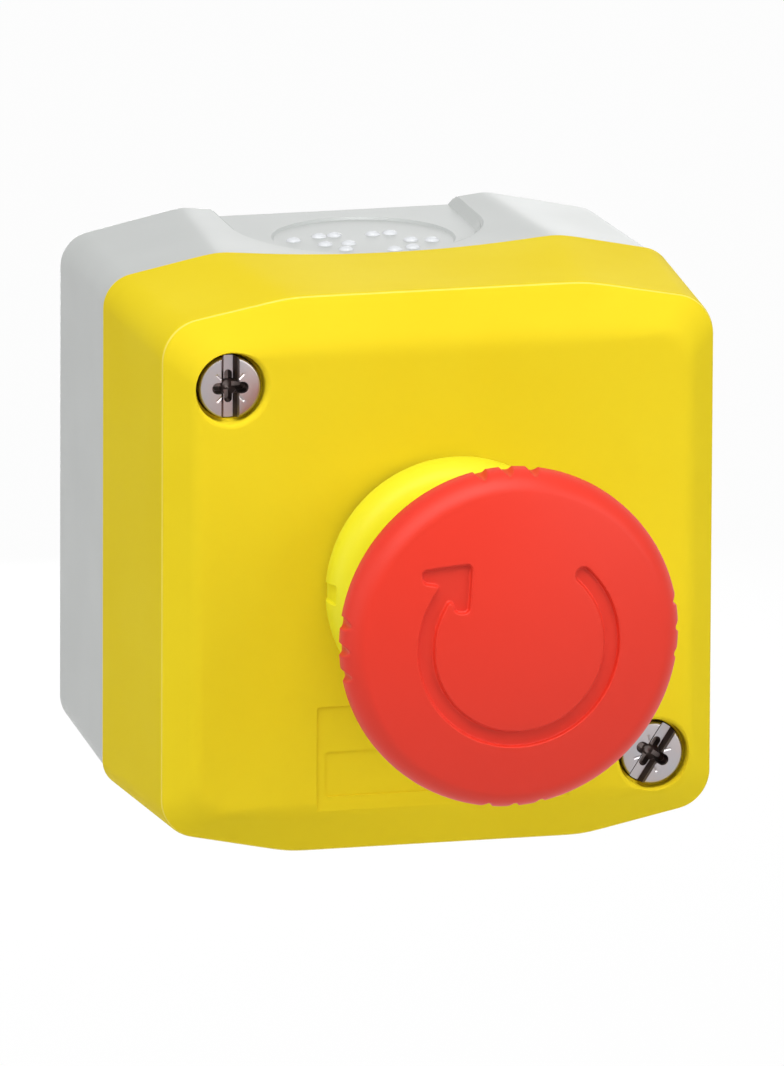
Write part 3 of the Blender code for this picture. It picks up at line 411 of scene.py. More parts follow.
def tidy(mesh: bpy.types.Mesh) -> None:
    """Merge doubles, drop empty faces and turn the normals outwards.

    Args:
        mesh: The mesh, changed in place.
    """
    body = bmesh.new()
    body.from_mesh(mesh)
    bmesh.ops.remove_doubles(body, verts=body.verts, dist=SAME_POINT)
    bmesh.ops.dissolve_degenerate(body, edges=body.edges, dist=NO_EDGE)
    bmesh.ops.recalc_face_normals(body, faces=body.faces)
    body.to_mesh(mesh)
    body.free()


def grid(name: str, rings: Array, wrap: bool = False) -> Body:
    """A closed body from a grid whose columns close round.

    Args:
        name: The object's name.
        rings: Points by ring and column.
        wrap: Whether the last ring joins the first; otherwise both ends are capped.

    Returns:
        The new object.
    """
    rows, columns = rings.shape[:2]
    index = np.arange(rows * columns).reshape(rows, columns)
    low = index if wrap else index[:-1]
    high = np.roll(index, -1, 0) if wrap else index[1:]
    quads = np.stack([low, np.roll(low, -1, 1), np.roll(high, -1, 1), high], -1).reshape(-1, 4)
    faces = quads.tolist()
    if not wrap:
        faces += [index[0].tolist(), index[-1].tolist()]
    return new_mesh(name, rings.reshape(-1, 3), faces)


def stack(name: str, outline: Array, section: Section, plane: Plane = Plane.FRONT,
          sink: Callable[[Array], Array] | None = None) -> Body:
    """A body whose outline grows and shrinks by the section's offsets as its level goes up.

    Args:
        name: The object's name.
        outline: The flat outline.
        section: Offset and level pairs.
        plane: The plane of the outline.
        sink: How far a flat point's level goes down, such as on a dome.

    Returns:
        The new object.
    """
    rings = []
    for distance, level in section:
        flat = offset(outline, distance)
        columns = np.column_stack([flat, level - (sink(flat) if sink else np.zeros(len(flat)))])
        rings.append(columns[:, plane.value])
    return grid(name, np.stack(rings))


def revolve(name: str, profile: Section | Array, middle: Pair = (0.0, 0.0), ring: bool = False,
            turns: Array | None = None, steps: int = TURN_STEPS,
            reshape: Callable[[Array, Array, Array], Array] | None = None) -> Body:
    """A body turned about the depth axis: radius and depth from a profile, at each angle.

    Args:
        name: The object's name.
        profile: Radius and depth pairs.
        middle: Across and up of the axis.
        ring: Whether the profile is closed; otherwise its ends are capped or meet the axis.
        turns: Angles in radians; equal steps when left out.
        steps: Number of equal steps.
        reshape: Gives new radii from depths, radii and angles, all as arrays.

    Returns:
        The new object.
    """
    angles = np.linspace(0, 2 * math.pi, steps, endpoint=False) if turns is None else turns
    profile = np.asarray(profile)
    radii = np.repeat(profile[:, :1], len(angles), 1)
    depths = np.repeat(profile[:, 1:], len(angles), 1)
    if reshape:
        radii = reshape(depths, radii, angles[None])
    rings = np.stack([middle[0] + radii * np.cos(angles), depths, middle[1] + radii * np.sin(angles)], -1)
    return grid(name, rings, wrap=ring)


def thread(low: float, high: float, pitch: float, height: float) -> Callable[[Array, Array, Array], Array]:
    """A screw thread for revolve: the radius falls by a cosine of depth over pitch less the share of a turn.

    Args:
        low: Depth of its rear end.
        high: Depth of its front end.
        pitch: Depth from one turn to the next.
        height: Fall from crest to root.

    Returns:
        The reshape function.
    """
    def cut_thread(depths: Array, radii: Array, angles: Array) -> Array:
        """Give the new radii."""
        inside = np.clip(np.minimum(depths - low, high - depths) / (pitch / 2), 0, 1)
        wave = 0.5 - 0.5 * np.cos(2 * math.pi * (depths / pitch - angles / (2 * math.pi)))
        return radii - height * inside * wave
    return cut_thread


def with_rows(profile: Array, low: float, high: float, spacing: float) -> Array:
    """Add rows at equal spacing to each side of a profile that spans two depths.

    Args:
        profile: Radius and depth pairs.
        low: The lesser depth.
        high: The greater depth, which a side has to reach as well.
        spacing: Depth between rows.

    Returns:
        The profile with its new rows.
    """
    parts = [profile[:1]]
    for before, after in zip(profile, profile[1:]):
        start, end = sorted((before[1], after[1]))
        count = int((end - start) / spacing) if end - start > 1 and start <= low and end >= high else 1
        share = np.linspace(0, 1, count + 1)[1:, None]
        parts.append(before + (after - before) * share)
    return np.concatenate(parts)


def rounded_rings(stations: Sequence[tuple[Array, float, float]], steps: int = EDGE_STEPS) -> Array:
    """Rings through outlines at their depths, with the corner at each inner station rounded.

    Each column of points is a polyline; its corner becomes the quadratic curve that leaves and
    meets the sides at the station's distance from the corner.

    Args:
        stations: Outline, depth and rounding of each station, outlines of equal count.
        steps: Steps of each rounding.

    Returns:
        Points by ring and column.
    """
    places = [at_depth(flat, depth) for flat, depth, _ in stations]
    rings = [places[0]]
    for number in range(1, len(stations) - 1):
        here = places[number]
        reach = stations[number][2]
        start = here + reach * unit(places[number - 1] - here)
        end = here + reach * unit(places[number + 1] - here)
        for share in np.linspace(0, 1, steps + 1):
            rings.append((1 - share) ** 2 * start + 2 * share * (1 - share) * here + share ** 2 * end)
    return np.stack(rings + [places[-1]])


def carve(body: Body, tools: Sequence[Body],
          step: Step = Step.CUT) -> Body:
    """Cut tools from a body or join them to it, apply the result and remove the tools.

    Args:
        body: The body that is kept.
        tools: The bodies that are used up.
        step: Whether to cut or join.

    Returns:
        The body.
    """
    scene = bpy.context.scene.collection.objects
    for item in (body, *tools):
        scene.link(item)
    for tool in tools:
        change = body.modifiers.new(tool.name, "BOOLEAN")
        change.operation = step.value
        change.solver = "MANIFOLD"
        change.object = tool
    mesh = bpy.data.meshes.new_from_object(body.evaluated_get(bpy.context.evaluated_depsgraph_get()))
    body.modifiers.clear()
    body.data = mesh
    tidy(mesh)
    scene.unlink(body)
    for tool in tools:
        bpy.data.objects.remove(tool)
    return body


def gather(name: str, parts: Sequence[Body]) -> Body:
    """Copy separate bodies into one object and remove them.

    Args:
        name: The new object's name.
        parts: The bodies that are used up.

    Returns:
        The new object.
    """
    body = bmesh.new()
    for part in parts:
        body.from_mesh(part.data)
        bpy.data.objects.remove(part)
    mesh = bpy.data.meshes.new(name)
    body.to_mesh(mesh)
    body.free()
    return bpy.data.objects.new(name, mesh)


def direction(azimuth: float, elevation: float) -> Vector:
    """Unit vector from the part towards an azimuth right of the front and an elevation, in degrees."""
    az, el = math.radians(azimuth), math.radians(elevation)
    return Vector((math.sin(az) * math.cos(el), -math.cos(az) * math.cos(el), math.sin(el)))


class Workshop:
    """Gives finished pieces their material, shading and place in the frame."""

    def __init__(self) -> None:
        """Start with no materials made."""
        self.made: dict[str, bpy.types.Material] = {}

    def material(self, finish: Finish) -> bpy.types.Material:
        """Return the finish's material, made the first time it is asked for."""
        if finish.name not in self.made:
            self.made[finish.name] = finish.build()
        return self.made[finish.name]

    def hand_over(self, piece: Body, finish: Finish, body: str, *nodes: str) -> Body:
        """Dress a finished mesh and tie it to its CAD body.

        Args:
            piece: The piece, at the origin.
            finish: Its finish.
            body: The CAD body that it moves with.
            nodes: The CAD nodes that it stands for.

        Returns:
            The piece.
        """
        bpy.context.scene.collection.objects.link(piece)
        piece.data.materials.clear()
        piece.data.materials.append(self.material(finish))
        piece.data.shade_smooth()
        piece.data.set_sharp_from_angle(angle=math.radians(CRISP))
        weigh = piece.modifiers.new("weigh_normals", "WEIGHTED_NORMAL")
        weigh.keep_sharp = True
        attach(piece, body)
        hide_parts(*nodes)
        LOG.info("%s: %d faces on %s", piece.name, len(piece.data.polygons), body)
        return piece


# Enclosure


@dataclass(frozen=True)
class Outline:
    """The enclosure's outline at one depth: upright sides, round corners, falling hips, soft shoulders."""

    half_width: float
    half_height: float
    shoulder: float
    corner: float
    low_corner: float
    slope: float = 0.19
    low_slope: float = 0.25
    dip: float = 0.0
    softness: float = 0.15

    def points(self) -> Array:
        """Work out the closed outline: the lower half is an upper one turned round.

        Returns:
            Anticlockwise points from the right side.
        """
        return np.concatenate([self.upper(self.corner, self.slope),
                               -self.upper(self.low_corner, self.low_slope)])

    def upper(self, radius: float, slope: float) -> Array:
        """Work out the upper half.

        The corner is an arc. Above it, the height is the lower of a falling hip line and a middle that
        dips by a parabola, joined by a soft minimum. The points stand close about the shoulder.

        Args:
            radius: The corner's radius.
            slope: How steeply the hip falls.

        Returns:
            Points from right to left.
        """
        lean = math.atan(slope)
        hip_start = self.half_height - (self.half_width - self.shoulder) * slope
        arc_height = hip_start - radius * math.tan((math.pi / 2 - lean) / 2)
        middle = (self.half_width - radius, arc_height)
        corner = arc(middle, radius, 0, 90 - math.degrees(lean), CORNER_STEPS)
        shares = np.concatenate([np.linspace(*SHOULDER_POINTS), np.linspace(*MIDDLE_POINTS)])
        end, count = HIP_POINTS
        across = np.concatenate([np.linspace(corner[-1, 0], end * self.shoulder, count)[1:],
                                 shares * self.shoulder])
        hip = self.half_height - (across - self.shoulder) * slope
        top = self.half_height - self.dip * (1 - (across / self.shoulder) ** 2)
        up = top - self.softness * np.logaddexp(0, (top - hip) / self.softness)
        quarter = np.concatenate([corner, np.stack([across, up], 1)])
        return np.concatenate([quarter, quarter[-2::-1] * (-1, 1)])


@dataclass(frozen=True)
class Box:
    """Sizes that the base and the cover share."""

    split: float = 25.9
    depth: float = 53.0
    back: Outline = Outline(32.9, 32.5, 18.3, 4.0, 4.0, slope=0.212, low_slope=0.28, dip=1.15,
                            softness=0.1)
    seam: Outline = Outline(34.0, 33.08, 20.3, 4.0, 3.2, slope=0.205, low_slope=0.27, dip=1.15,
                            softness=0.22)
    overhang: float = 0.35
    cavity_half_width: float = 30.0
    cavity_half_height: float = 29.35
    cavity_corner: float = 7.0
    # Across and up of each cover screw, and its drive's turn in degrees
    screws: tuple[Triple, ...] = ((-25.2, 23.05, 0.0), (25.2, -23.05, -33.0))
    shank: float = 2.0
    head_radius: float = 3.65
    head_top: float = 52.2
    head_height: float = 2.4

    def cavity(self, grow: float = 0.0) -> Array:
        """Outline of the inside, or of the gasket round it."""
        return rectangle(self.cavity_half_width + grow, self.cavity_half_height + grow,
                         self.cavity_corner + grow)

    def places(self) -> list[Pair]:
        """Across and up of the cover screws."""
        return [screw[:2] for screw in self.screws]

    def base_seam(self) -> Outline:
        """Outline of the base where it meets the cover, which hangs over it a little."""
        return replace(self.seam, half_width=self.seam.half_width - self.overhang,
                       half_height=self.seam.half_height - self.overhang)


@dataclass
class Base:
    """The grey back half, with a cable entry at the top and the bottom."""

    shop: Workshop
    box: Box
    floor: float = 2.5
    floor_edge: float = 0.8
    back_edge: float = 0.5
    seam_edge: float = 0.25
    entry_floor: float = 31.1
    entry_half_width: float = 14.4
    entry_end: float = 25.3
    # Offset and height of the entry wall's corners: two sloped faces with a crease between them
    entry_wall: tuple[Pair, ...] = ((-0.55, 0.0), (0.1, 0.72), (0.17, 0.66), (0.85, 1.42), (1.1, 3.0))
    knockout_radius: float = 10.75
    knockout_middle: float = 14.5
    knockout_floor: float = 30.82
    knockout_slope: float = 0.25
    mark_radius: float = 0.92
    mark_height: float = 0.4
    # Across and depth of the knock-out's round marks, which stand in two loose clusters
    marks: tuple[Pair, ...] = (
        (-4.7, 11.9), (-2.8, 11.7), (-5.0, 16.1), (-2.2, 16.2), (1.7, 12.1), (3.8, 12.0), (5.3, 16.0),
        (4.6, 19.6), (7.7, 16.6), (-8.1, 13.3), (-3.2, 19.0), (2.3, 20.3))
    mark_root: float = 0.1
    wall_hole_radius: float = 2.15
    wall_hole_flare: float = 0.8
    pad_radius: float = 4.8
    pad_height: float = 1.5
    boss_radius: float = 5.0
    insert_radius: float = 3.5
    insert_depth: float = 18.45
    tip_depth: float = 11.8
    # Shallow marks that ejector pins leave on the back
    ejector_radius: float = 2.5
    ejector_sink: float = 0.12
    ejector_places: tuple[Pair, ...] = ((-20, -8), (20, 8), (-20, 8), (20, -8), (0, 24), (0, -24))
    ejector_steps: int = 48
    hook_across: float = 5.2
    hook_half_width: float = 2.5
    # Depth, height and radius of the corners of a hook's side
    hook: tuple[Sequence[float], ...] = (
        (1.5, 22.5), (6.1, 22.5), (6.1, 21.4, 0.2), (7.5, 21.4, 0.5), (7.5, 23.9, 0.4), (1.5, 23.9))

    def entry_outline(self) -> Array:
        """The U of a cable entry in the plan: straight sides from the wall, then half a circle.

        Returns:
            The outline, across and depth.
        """
        bend = self.entry_end - self.entry_half_width
        half_turn = arc((0.0, bend), self.entry_half_width, 0, 180, 40)
        return np.concatenate([[(self.entry_half_width, -1.0)], half_turn, [(-self.entry_half_width, -1.0)]])

    def entry_tools(self, sign: int) -> list[Body]:
        """Cutters of one entry: the U-shaped sink and the knock-out's round pocket.

        Args:
            sign: 1 for the top and -1 for the bottom.

        Returns:
            Both cutters.
        """
        sink = [(grow, sign * (self.entry_floor + height)) for grow, height in self.entry_wall]
        disc = arc((0.0, self.knockout_middle), self.knockout_radius, 0, 360, TURN_STEPS)[:-1]
        pocket = [(-self.knockout_slope, self.knockout_floor), (0.0, self.entry_floor),
                  (0.0, self.entry_floor + 1)]
        return [stack("entry", self.entry_outline(), sink, Plane.TOP),
                stack("pocket", disc, [(grow, sign * level) for grow, level in pocket], Plane.TOP)]

    def hooks(self) -> list[Body]:
        """Posts with noses that hold the feet of the contact blocks.

        Returns:
            The four posts.
        """
        tools = []
        profile = filleted(self.hook)
        for side in (-1, 1):
            for end in (-1, 1):
                rings = [np.column_stack([np.full(len(profile), side * self.hook_across + shift),
                                          profile[:, 0], end * profile[:, 1]])
                         for shift in (-self.hook_half_width, self.hook_half_width)]
                tools.append(grid("hook", np.stack(rings)))
        return tools

    def build(self) -> None:
        """Make the base: a lofted shell, cut for its cavity and entries, with bosses, pads and hooks."""
        box = self.box
        back = box.back.points()
        seam = box.base_seam().points()
        rim = box.split - GAP / 2
        rings = rounded_rings([(back * END_SHARE, 0.0, 0.0), (back, 0.0, self.back_edge),
                               (seam, rim, self.seam_edge), (seam * END_SHARE, rim, 0.0)])
        shell = grid("base_shell", rings)
        tools = [stack("cavity", box.cavity(), rounded_sink(self.floor, box.split, self.floor_edge, 0.0))]
        for sign in (1, -1):
            tools += self.entry_tools(sign)
        carve(shell, tools)
        low = self.floor - 1
        holes = [(-x, z) for x, z in box.places()]
        boss = [(self.boss_radius, low), (self.boss_radius, rim)]
        pad = [(self.pad_radius, low), (self.pad_radius, self.floor + self.pad_height)]
        posts = [revolve("boss", boss, place) for place in box.places()]
        posts += [revolve("pad", pad, place) for place in holes]
        carve(shell, posts + self.hooks(), Step.JOIN)
        through = box.shank + GAP
        bore = stepped(self.tip_depth, (through, self.insert_depth), (self.insert_radius, box.split))
        mark = stepped(-0.5, (self.ejector_radius, self.ejector_sink))
        r = self.wall_hole_radius
        flare = r + self.wall_hole_flare
        hole = filleted([(0, -1), (flare, -1), (flare, 0), (r, 0.5, 0.3), (r, 8), (0, 8)], closed=False)
        cuts = [revolve("bore", bore, place) for place in box.places()]
        cuts += [revolve("wall_hole", hole, place) for place in holes]
        cuts += [revolve("ejector", mark, place, steps=self.ejector_steps)
                 for place in self.ejector_places]
        carve(shell, cuts)
        self.shop.hand_over(shell, GREY, "enclosure", "base")
        for sign, name in ((1, "top"), (-1, "bottom")):
            self.build_marks(sign, name)

    def build_marks(self, sign: int, name: str) -> None:
        """Make the round marks of one knock-out as domes: half an ellipse turned about each middle.

        Args:
            sign: 1 for the top and -1 for the bottom.
            name: The end of the piece's name.
        """
        turn = np.linspace(0, math.pi / 2, 6)[:, None, None]
        angle = np.linspace(0, 2 * math.pi, 20, endpoint=False)[None, :, None]
        middle = np.array(self.marks)[None, None]
        across = middle[..., 0] + self.mark_radius * np.cos(turn) * np.cos(angle)
        depth = middle[..., 1] + self.mark_radius * np.cos(turn) * np.sin(angle)
        root = self.knockout_floor - self.mark_root
        up = root + (self.mark_height + self.mark_root) * np.sin(turn) + 0 * depth
        rings = np.stack([across, depth, sign * up], -1)
        domes = [grid("dome", rings[:, :, number]) for number in range(len(self.marks))]
        # The marks take the brighter grey, a painted highlight on their domes
        self.shop.hand_over(gather("knockout_marks_" + name, domes), POLISHED_GREY_PAINTED_HIGHLIGHT, "enclosure")


@dataclass
class Cover:
    """The yellow front half with its chamfered face, screw wells and label field."""

    shop: Workshop
    box: Box
    front: Outline = Outline(32.75, 32.9, 17.5, 5.0, 4.6, low_slope=0.21)
    face: Outline = Outline(29.3, 27.4, 17.5, 4.0, 4.0, slope=0.0, low_slope=0.0)
    front_depth: float = 49.9
    rear_edge: float = 0.3
    front_edge: float = 0.5
    face_edge: float = 1.3
    edge_steps: int = 8
    # The face's inner ring, drawn in to this share of its outline
    face_share: float = 0.9
    inside: float = 50.5
    ease: float = 2.5
    pillar_radius: float = 5.4
    well_radius: float = 4.15
    well_floor: float = 50.9
    head_hole: float = 3.8
    head_floor: float = 48.2
    well_foot: float = 0.3
    well_edge: float = 0.6
    neck_hole: float = 11.3
    notch_half_width: float = 1.6
    notch_top: float = 12.5
    notch_corner: float = 0.2
    field_half_width: float = 15.0
    field_top: float = -15.1
    field_bottom: float = -28.6
    field_sink: float = 0.2
    field_corner: float = 0.4
    field_foot: float = 0.03
    field_edge: float = 0.06
    panel_half_width: float = 14.0
    panel_top: float = -20.5
    panel_bottom: float = -25.8
    panel_sink: float = 0.16
    groove_floor: float = 27.95
    groove: Pair = (0.6, 2.0)

    def build(self) -> None:
        """Make the cover: rounded rings through the seam, front and face outlines, then its cuts."""
        box = self.box
        rim = box.split + GAP / 2
        seam = box.seam.points()
        face = self.face.points()
        rings = rounded_rings([
            (seam * END_SHARE, rim, 0.0), (seam, rim, self.rear_edge),
            (self.front.points(), self.front_depth, self.front_edge), (face, box.depth, self.face_edge),
            (face * self.face_share, box.depth, 0.0)], steps=self.edge_steps)
        shell = grid("cover_shell", rings)
        hollow = [(0, box.split - 1), (0, self.inside - self.ease)]
        hollow += [(-self.ease * (1 - math.cos(a)), self.inside - self.ease * (1 - math.sin(a)))
                   for a in np.linspace(0, math.pi / 2, 7)[1:]]
        carve(shell, [stack("cavity", box.cavity(), hollow)])
        pillar = [(self.pillar_radius, rim), (self.pillar_radius, self.inside + 1)]
        carve(shell, [revolve("pillar", pillar, place) for place in box.places()], Step.JOIN)
        carve(shell, self.tools())
        self.shop.hand_over(shell, YELLOW, "enclosure", "cover")

    def tools(self) -> list[Body]:
        """Cutters for the gasket groove, the operator's hole, the screw wells and the label field.

        Returns:
            The cutters.
        """
        box = self.box
        inner, outer = (box.cavity(grow) for grow in self.groove)
        rings = [at_depth(inner, box.split - 1), at_depth(outer, box.split - 1),
                 at_depth(outer, self.groove_floor), at_depth(inner, self.groove_floor)]
        hole = stepped(box.split, (self.neck_hole, box.depth + 1))
        notch = rectangle(self.notch_half_width, self.notch_top / 2, self.notch_corner,
                          (0.0, self.notch_top / 2))
        cutters = [grid("groove", np.stack(rings), wrap=True), revolve("hole", hole),
                   stack("notch", notch, [(0, box.split), (0, box.depth + 1)])]
        well = [(self.well_radius + grow, level)
                for grow, level in rounded_sink(self.well_floor, box.depth, self.well_foot, self.well_edge)]
        well = [(0, self.well_floor), *well, (0, box.depth + 1)]
        through = box.shank + GAP
        shaft = stepped(box.split - 1, (through, self.head_floor), (self.head_hole, box.depth - 1))
        for place in box.places():
            cutters += [revolve("well", well, place), revolve("shaft", shaft, place)]
        for half, top, bottom, sink in (
                (self.field_half_width, self.field_top, self.field_bottom, self.field_sink),
                (self.panel_half_width, self.panel_top, self.panel_bottom,
                 self.field_sink + self.panel_sink)):
            outline = rectangle(half, (top - bottom) / 2, self.field_corner, (0.0, (top + bottom) / 2))
            section = rounded_sink(box.depth - sink, box.depth, self.field_foot, self.field_edge)
            cutters.append(stack("field", outline, section))
        return cutters


@dataclass
class CoverScrews:
    """The two zinc-plated cover screws, with a slot and a star-marked cross in a flat cheese head."""

    shop: Workshop
    box: Box
    length: float = 37.0
    pitch: float = 0.7
    thread_height: float = 0.35
    thread_length: float = 20.0
    chamfer: float = 0.6
    top_edge: float = 0.35
    slot_floor: float = 0.55
    slot_top: float = 1.08
    slot_depth: float = 1.2
    wing_reach: float = 2.15
    wing_half_width: float = 0.68
    # Offset of the cross's outline and height over the head, from its floor up
    wing_taper: tuple[Pair, ...] = ((-0.42, -2.3), (-0.2, -1.15), (0.0, 0.0), (0.1, 0.5))
    cone_radius: float = 1.2
    cone_depth: float = 3.2
    tick: Triple = (1.3, 2.3, 0.17)
    tick_depth: float = 0.11

    def build(self) -> None:
        """Make both screws."""
        for number, name in enumerate(("upper_left", "lower_right")):
            self.build_screw(name, self.box.screws[number])

    def build_screw(self, name: str, place: Triple) -> None:
        """Turn one screw with its rolled thread and cut its drive.

        Args:
            name: The end of the node's name.
            place: Across, up and the drive's turn in degrees.
        """
        box = self.box
        x, z, spin = place
        seat = box.head_top - box.head_height
        tip = seat - self.length
        lead = tip + self.chamfer
        thread_end = tip + self.thread_length
        corners = [(0, tip), (box.shank - self.chamfer, tip), (box.shank, lead), (box.shank, thread_end),
                   (box.shank, seat), (box.head_radius, seat, 0.15),
                   (box.head_radius, box.head_top, self.top_edge), (0, box.head_top)]
        profile = with_rows(filleted(corners, closed=False), lead, thread_end, self.pitch / 6)
        rolled = thread(tip, thread_end, self.pitch, self.thread_height)
        screw = revolve("screw_" + name, profile, (x, z), reshape=rolled)
        carve(screw, self.drive(spin, (x, z)))
        self.shop.hand_over(screw, ZINC, "enclosure", "cover_screw_" + name)

    def drive(self, spin: float, middle: Pair) -> list[Body]:
        """Cutters of the drive: a slot with sloped sides, a tapered cross, a deep cone and four ticks.

        Args:
            spin: The drive's turn in degrees.
            middle: Across and up of the screw.

        Returns:
            The cutters.
        """
        top = self.box.head_top
        reach = self.box.head_radius + 1
        slot = turned(rectangle(self.slot_floor, reach), spin, middle)
        widen = self.slot_top - self.slot_floor
        tools = [stack("slot", slot, [(0, top - self.slot_depth), (0, top - self.slot_depth + 0.1),
                                      (widen, top), (widen + 0.1, top + 0.1)])]
        wing = rectangle(self.wing_reach, self.wing_half_width, self.wing_half_width * 0.98)
        taper = [(grow, top + over) for grow, over in self.wing_taper]
        tools += [stack("wing", turned(wing, spin + quarter, middle), taper) for quarter in (0, 90)]
        cone = [(0, top - self.cone_depth), (self.cone_radius * 0.8, top - self.cone_depth * 0.6),
                (self.cone_radius, top + 0.3), (0, top + 0.3)]
        tools.append(revolve("cone", cone, middle, steps=48))
        start, end, half = self.tick
        for quarter in range(4):
            mark = rectangle((end - start) / 2, half, 0.0, ((start + end) / 2, 0.0))
            angle = spin + 45 + 90 * quarter
            tools.append(stack("tick", turned(mark, angle, middle),
                               [(-half * 0.95, top - self.tick_depth), (0.02, top + 0.02)]))
        return tools


# Operator


@dataclass
class Collar:
    """The lemon collar with its sleeve and threaded neck, and the gasket under it."""

    shop: Workshop
    bore: float = 8.9
    neck: float = 11.0
    neck_back: float = 43.0
    foot: float = 54.2
    foot_radius: float = 13.7
    radius: float = 15.25
    rim: float = 58.8
    band: float = 0.6
    nose: float = 62.0
    sleeve: float = 12.4
    draft: float = 0.3
    sleeve_front: float = 77.0
    seal_bore: float = 9.8
    seal_seat: float = 72.7
    pitch: float = 1.5
    thread_height: float = 0.6
    thread_end: float = 52.0
    notch_half_width: float = 1.1
    notch_depth: float = 0.4
    # Radius, depth and rounding of the corners of the gasket's section
    gasket: tuple[Triple, ...] = ((12.5, 53.3, 0.1), (13.4, 53.3, 0.1), (13.4, 53.9, 0.1), (12.5, 53.9, 0.1))
    lug_back: float = 50.5
    lug_half_width: float = 1.3
    lug_top: float = 12.2
    turn_steps: int = 160
    nose_rings: int = 13

    def build(self) -> None:
        """Turn the collar from its closed profile, then add the lug and cut the notch at nine o'clock."""
        turn = np.radians(np.linspace(0, 90, self.nose_rings))
        across, along = self.radius - self.sleeve, self.nose - self.rim
        nose = [(self.sleeve + across * math.cos(a), self.rim + along * math.sin(a)) for a in turn]
        corners = [(self.bore, self.neck_back, 0.3), (self.neck, self.neck_back, 0.4),
                   (self.neck, self.foot, 0.1), (self.foot_radius, self.foot, 0.25),
                   (self.radius, self.rim - self.band, 0.3), *nose,
                   (self.sleeve - self.draft, self.sleeve_front, 0.3),
                   (self.seal_bore, self.sleeve_front, 0.3), (self.seal_bore, self.seal_seat),
                   (self.bore, self.seal_seat, 0.2)]
        outline = filleted(corners)
        profile = with_rows(np.concatenate([outline, outline[:1]]), self.neck_back + 1, self.thread_end,
                            self.pitch / 8)
        cut_thread = thread(self.neck_back, self.thread_end, self.pitch, self.thread_height)
        root = (self.bore + self.neck) / 2

        def outside_only(depths: Array, radii: Array, angles: Array) -> Array:
            """Cut the thread in the neck's outside and leave its bore."""
            return np.where(radii > root, cut_thread(depths, radii, angles), radii)

        collar = revolve("collar", profile[:-1], SETTLED, ring=True, steps=self.turn_steps,
                         reshape=outside_only)
        middle = (0.0, (self.lug_top + root) / 2)
        lug = rectangle(self.lug_half_width, (self.lug_top - root) / 2, 0.2, middle)
        carve(collar, [stack("lug", lug, [(0, self.lug_back), (0, self.foot + 0.3)])], Step.JOIN)
        notch = rectangle(self.notch_depth, self.notch_half_width, 0.15, (-self.radius, 0.0))
        carve(collar, [stack("notch", notch, [(0, self.foot - 1), (0, self.rim), (0.2, self.nose)])])
        self.shop.hand_over(collar, LEMON, "enclosure", "bezel")
        gasket = revolve("collar_gasket", filleted(self.gasket), ring=True)
        self.shop.hand_over(gasket, RUBBER, "enclosure", "bezel_gasket")


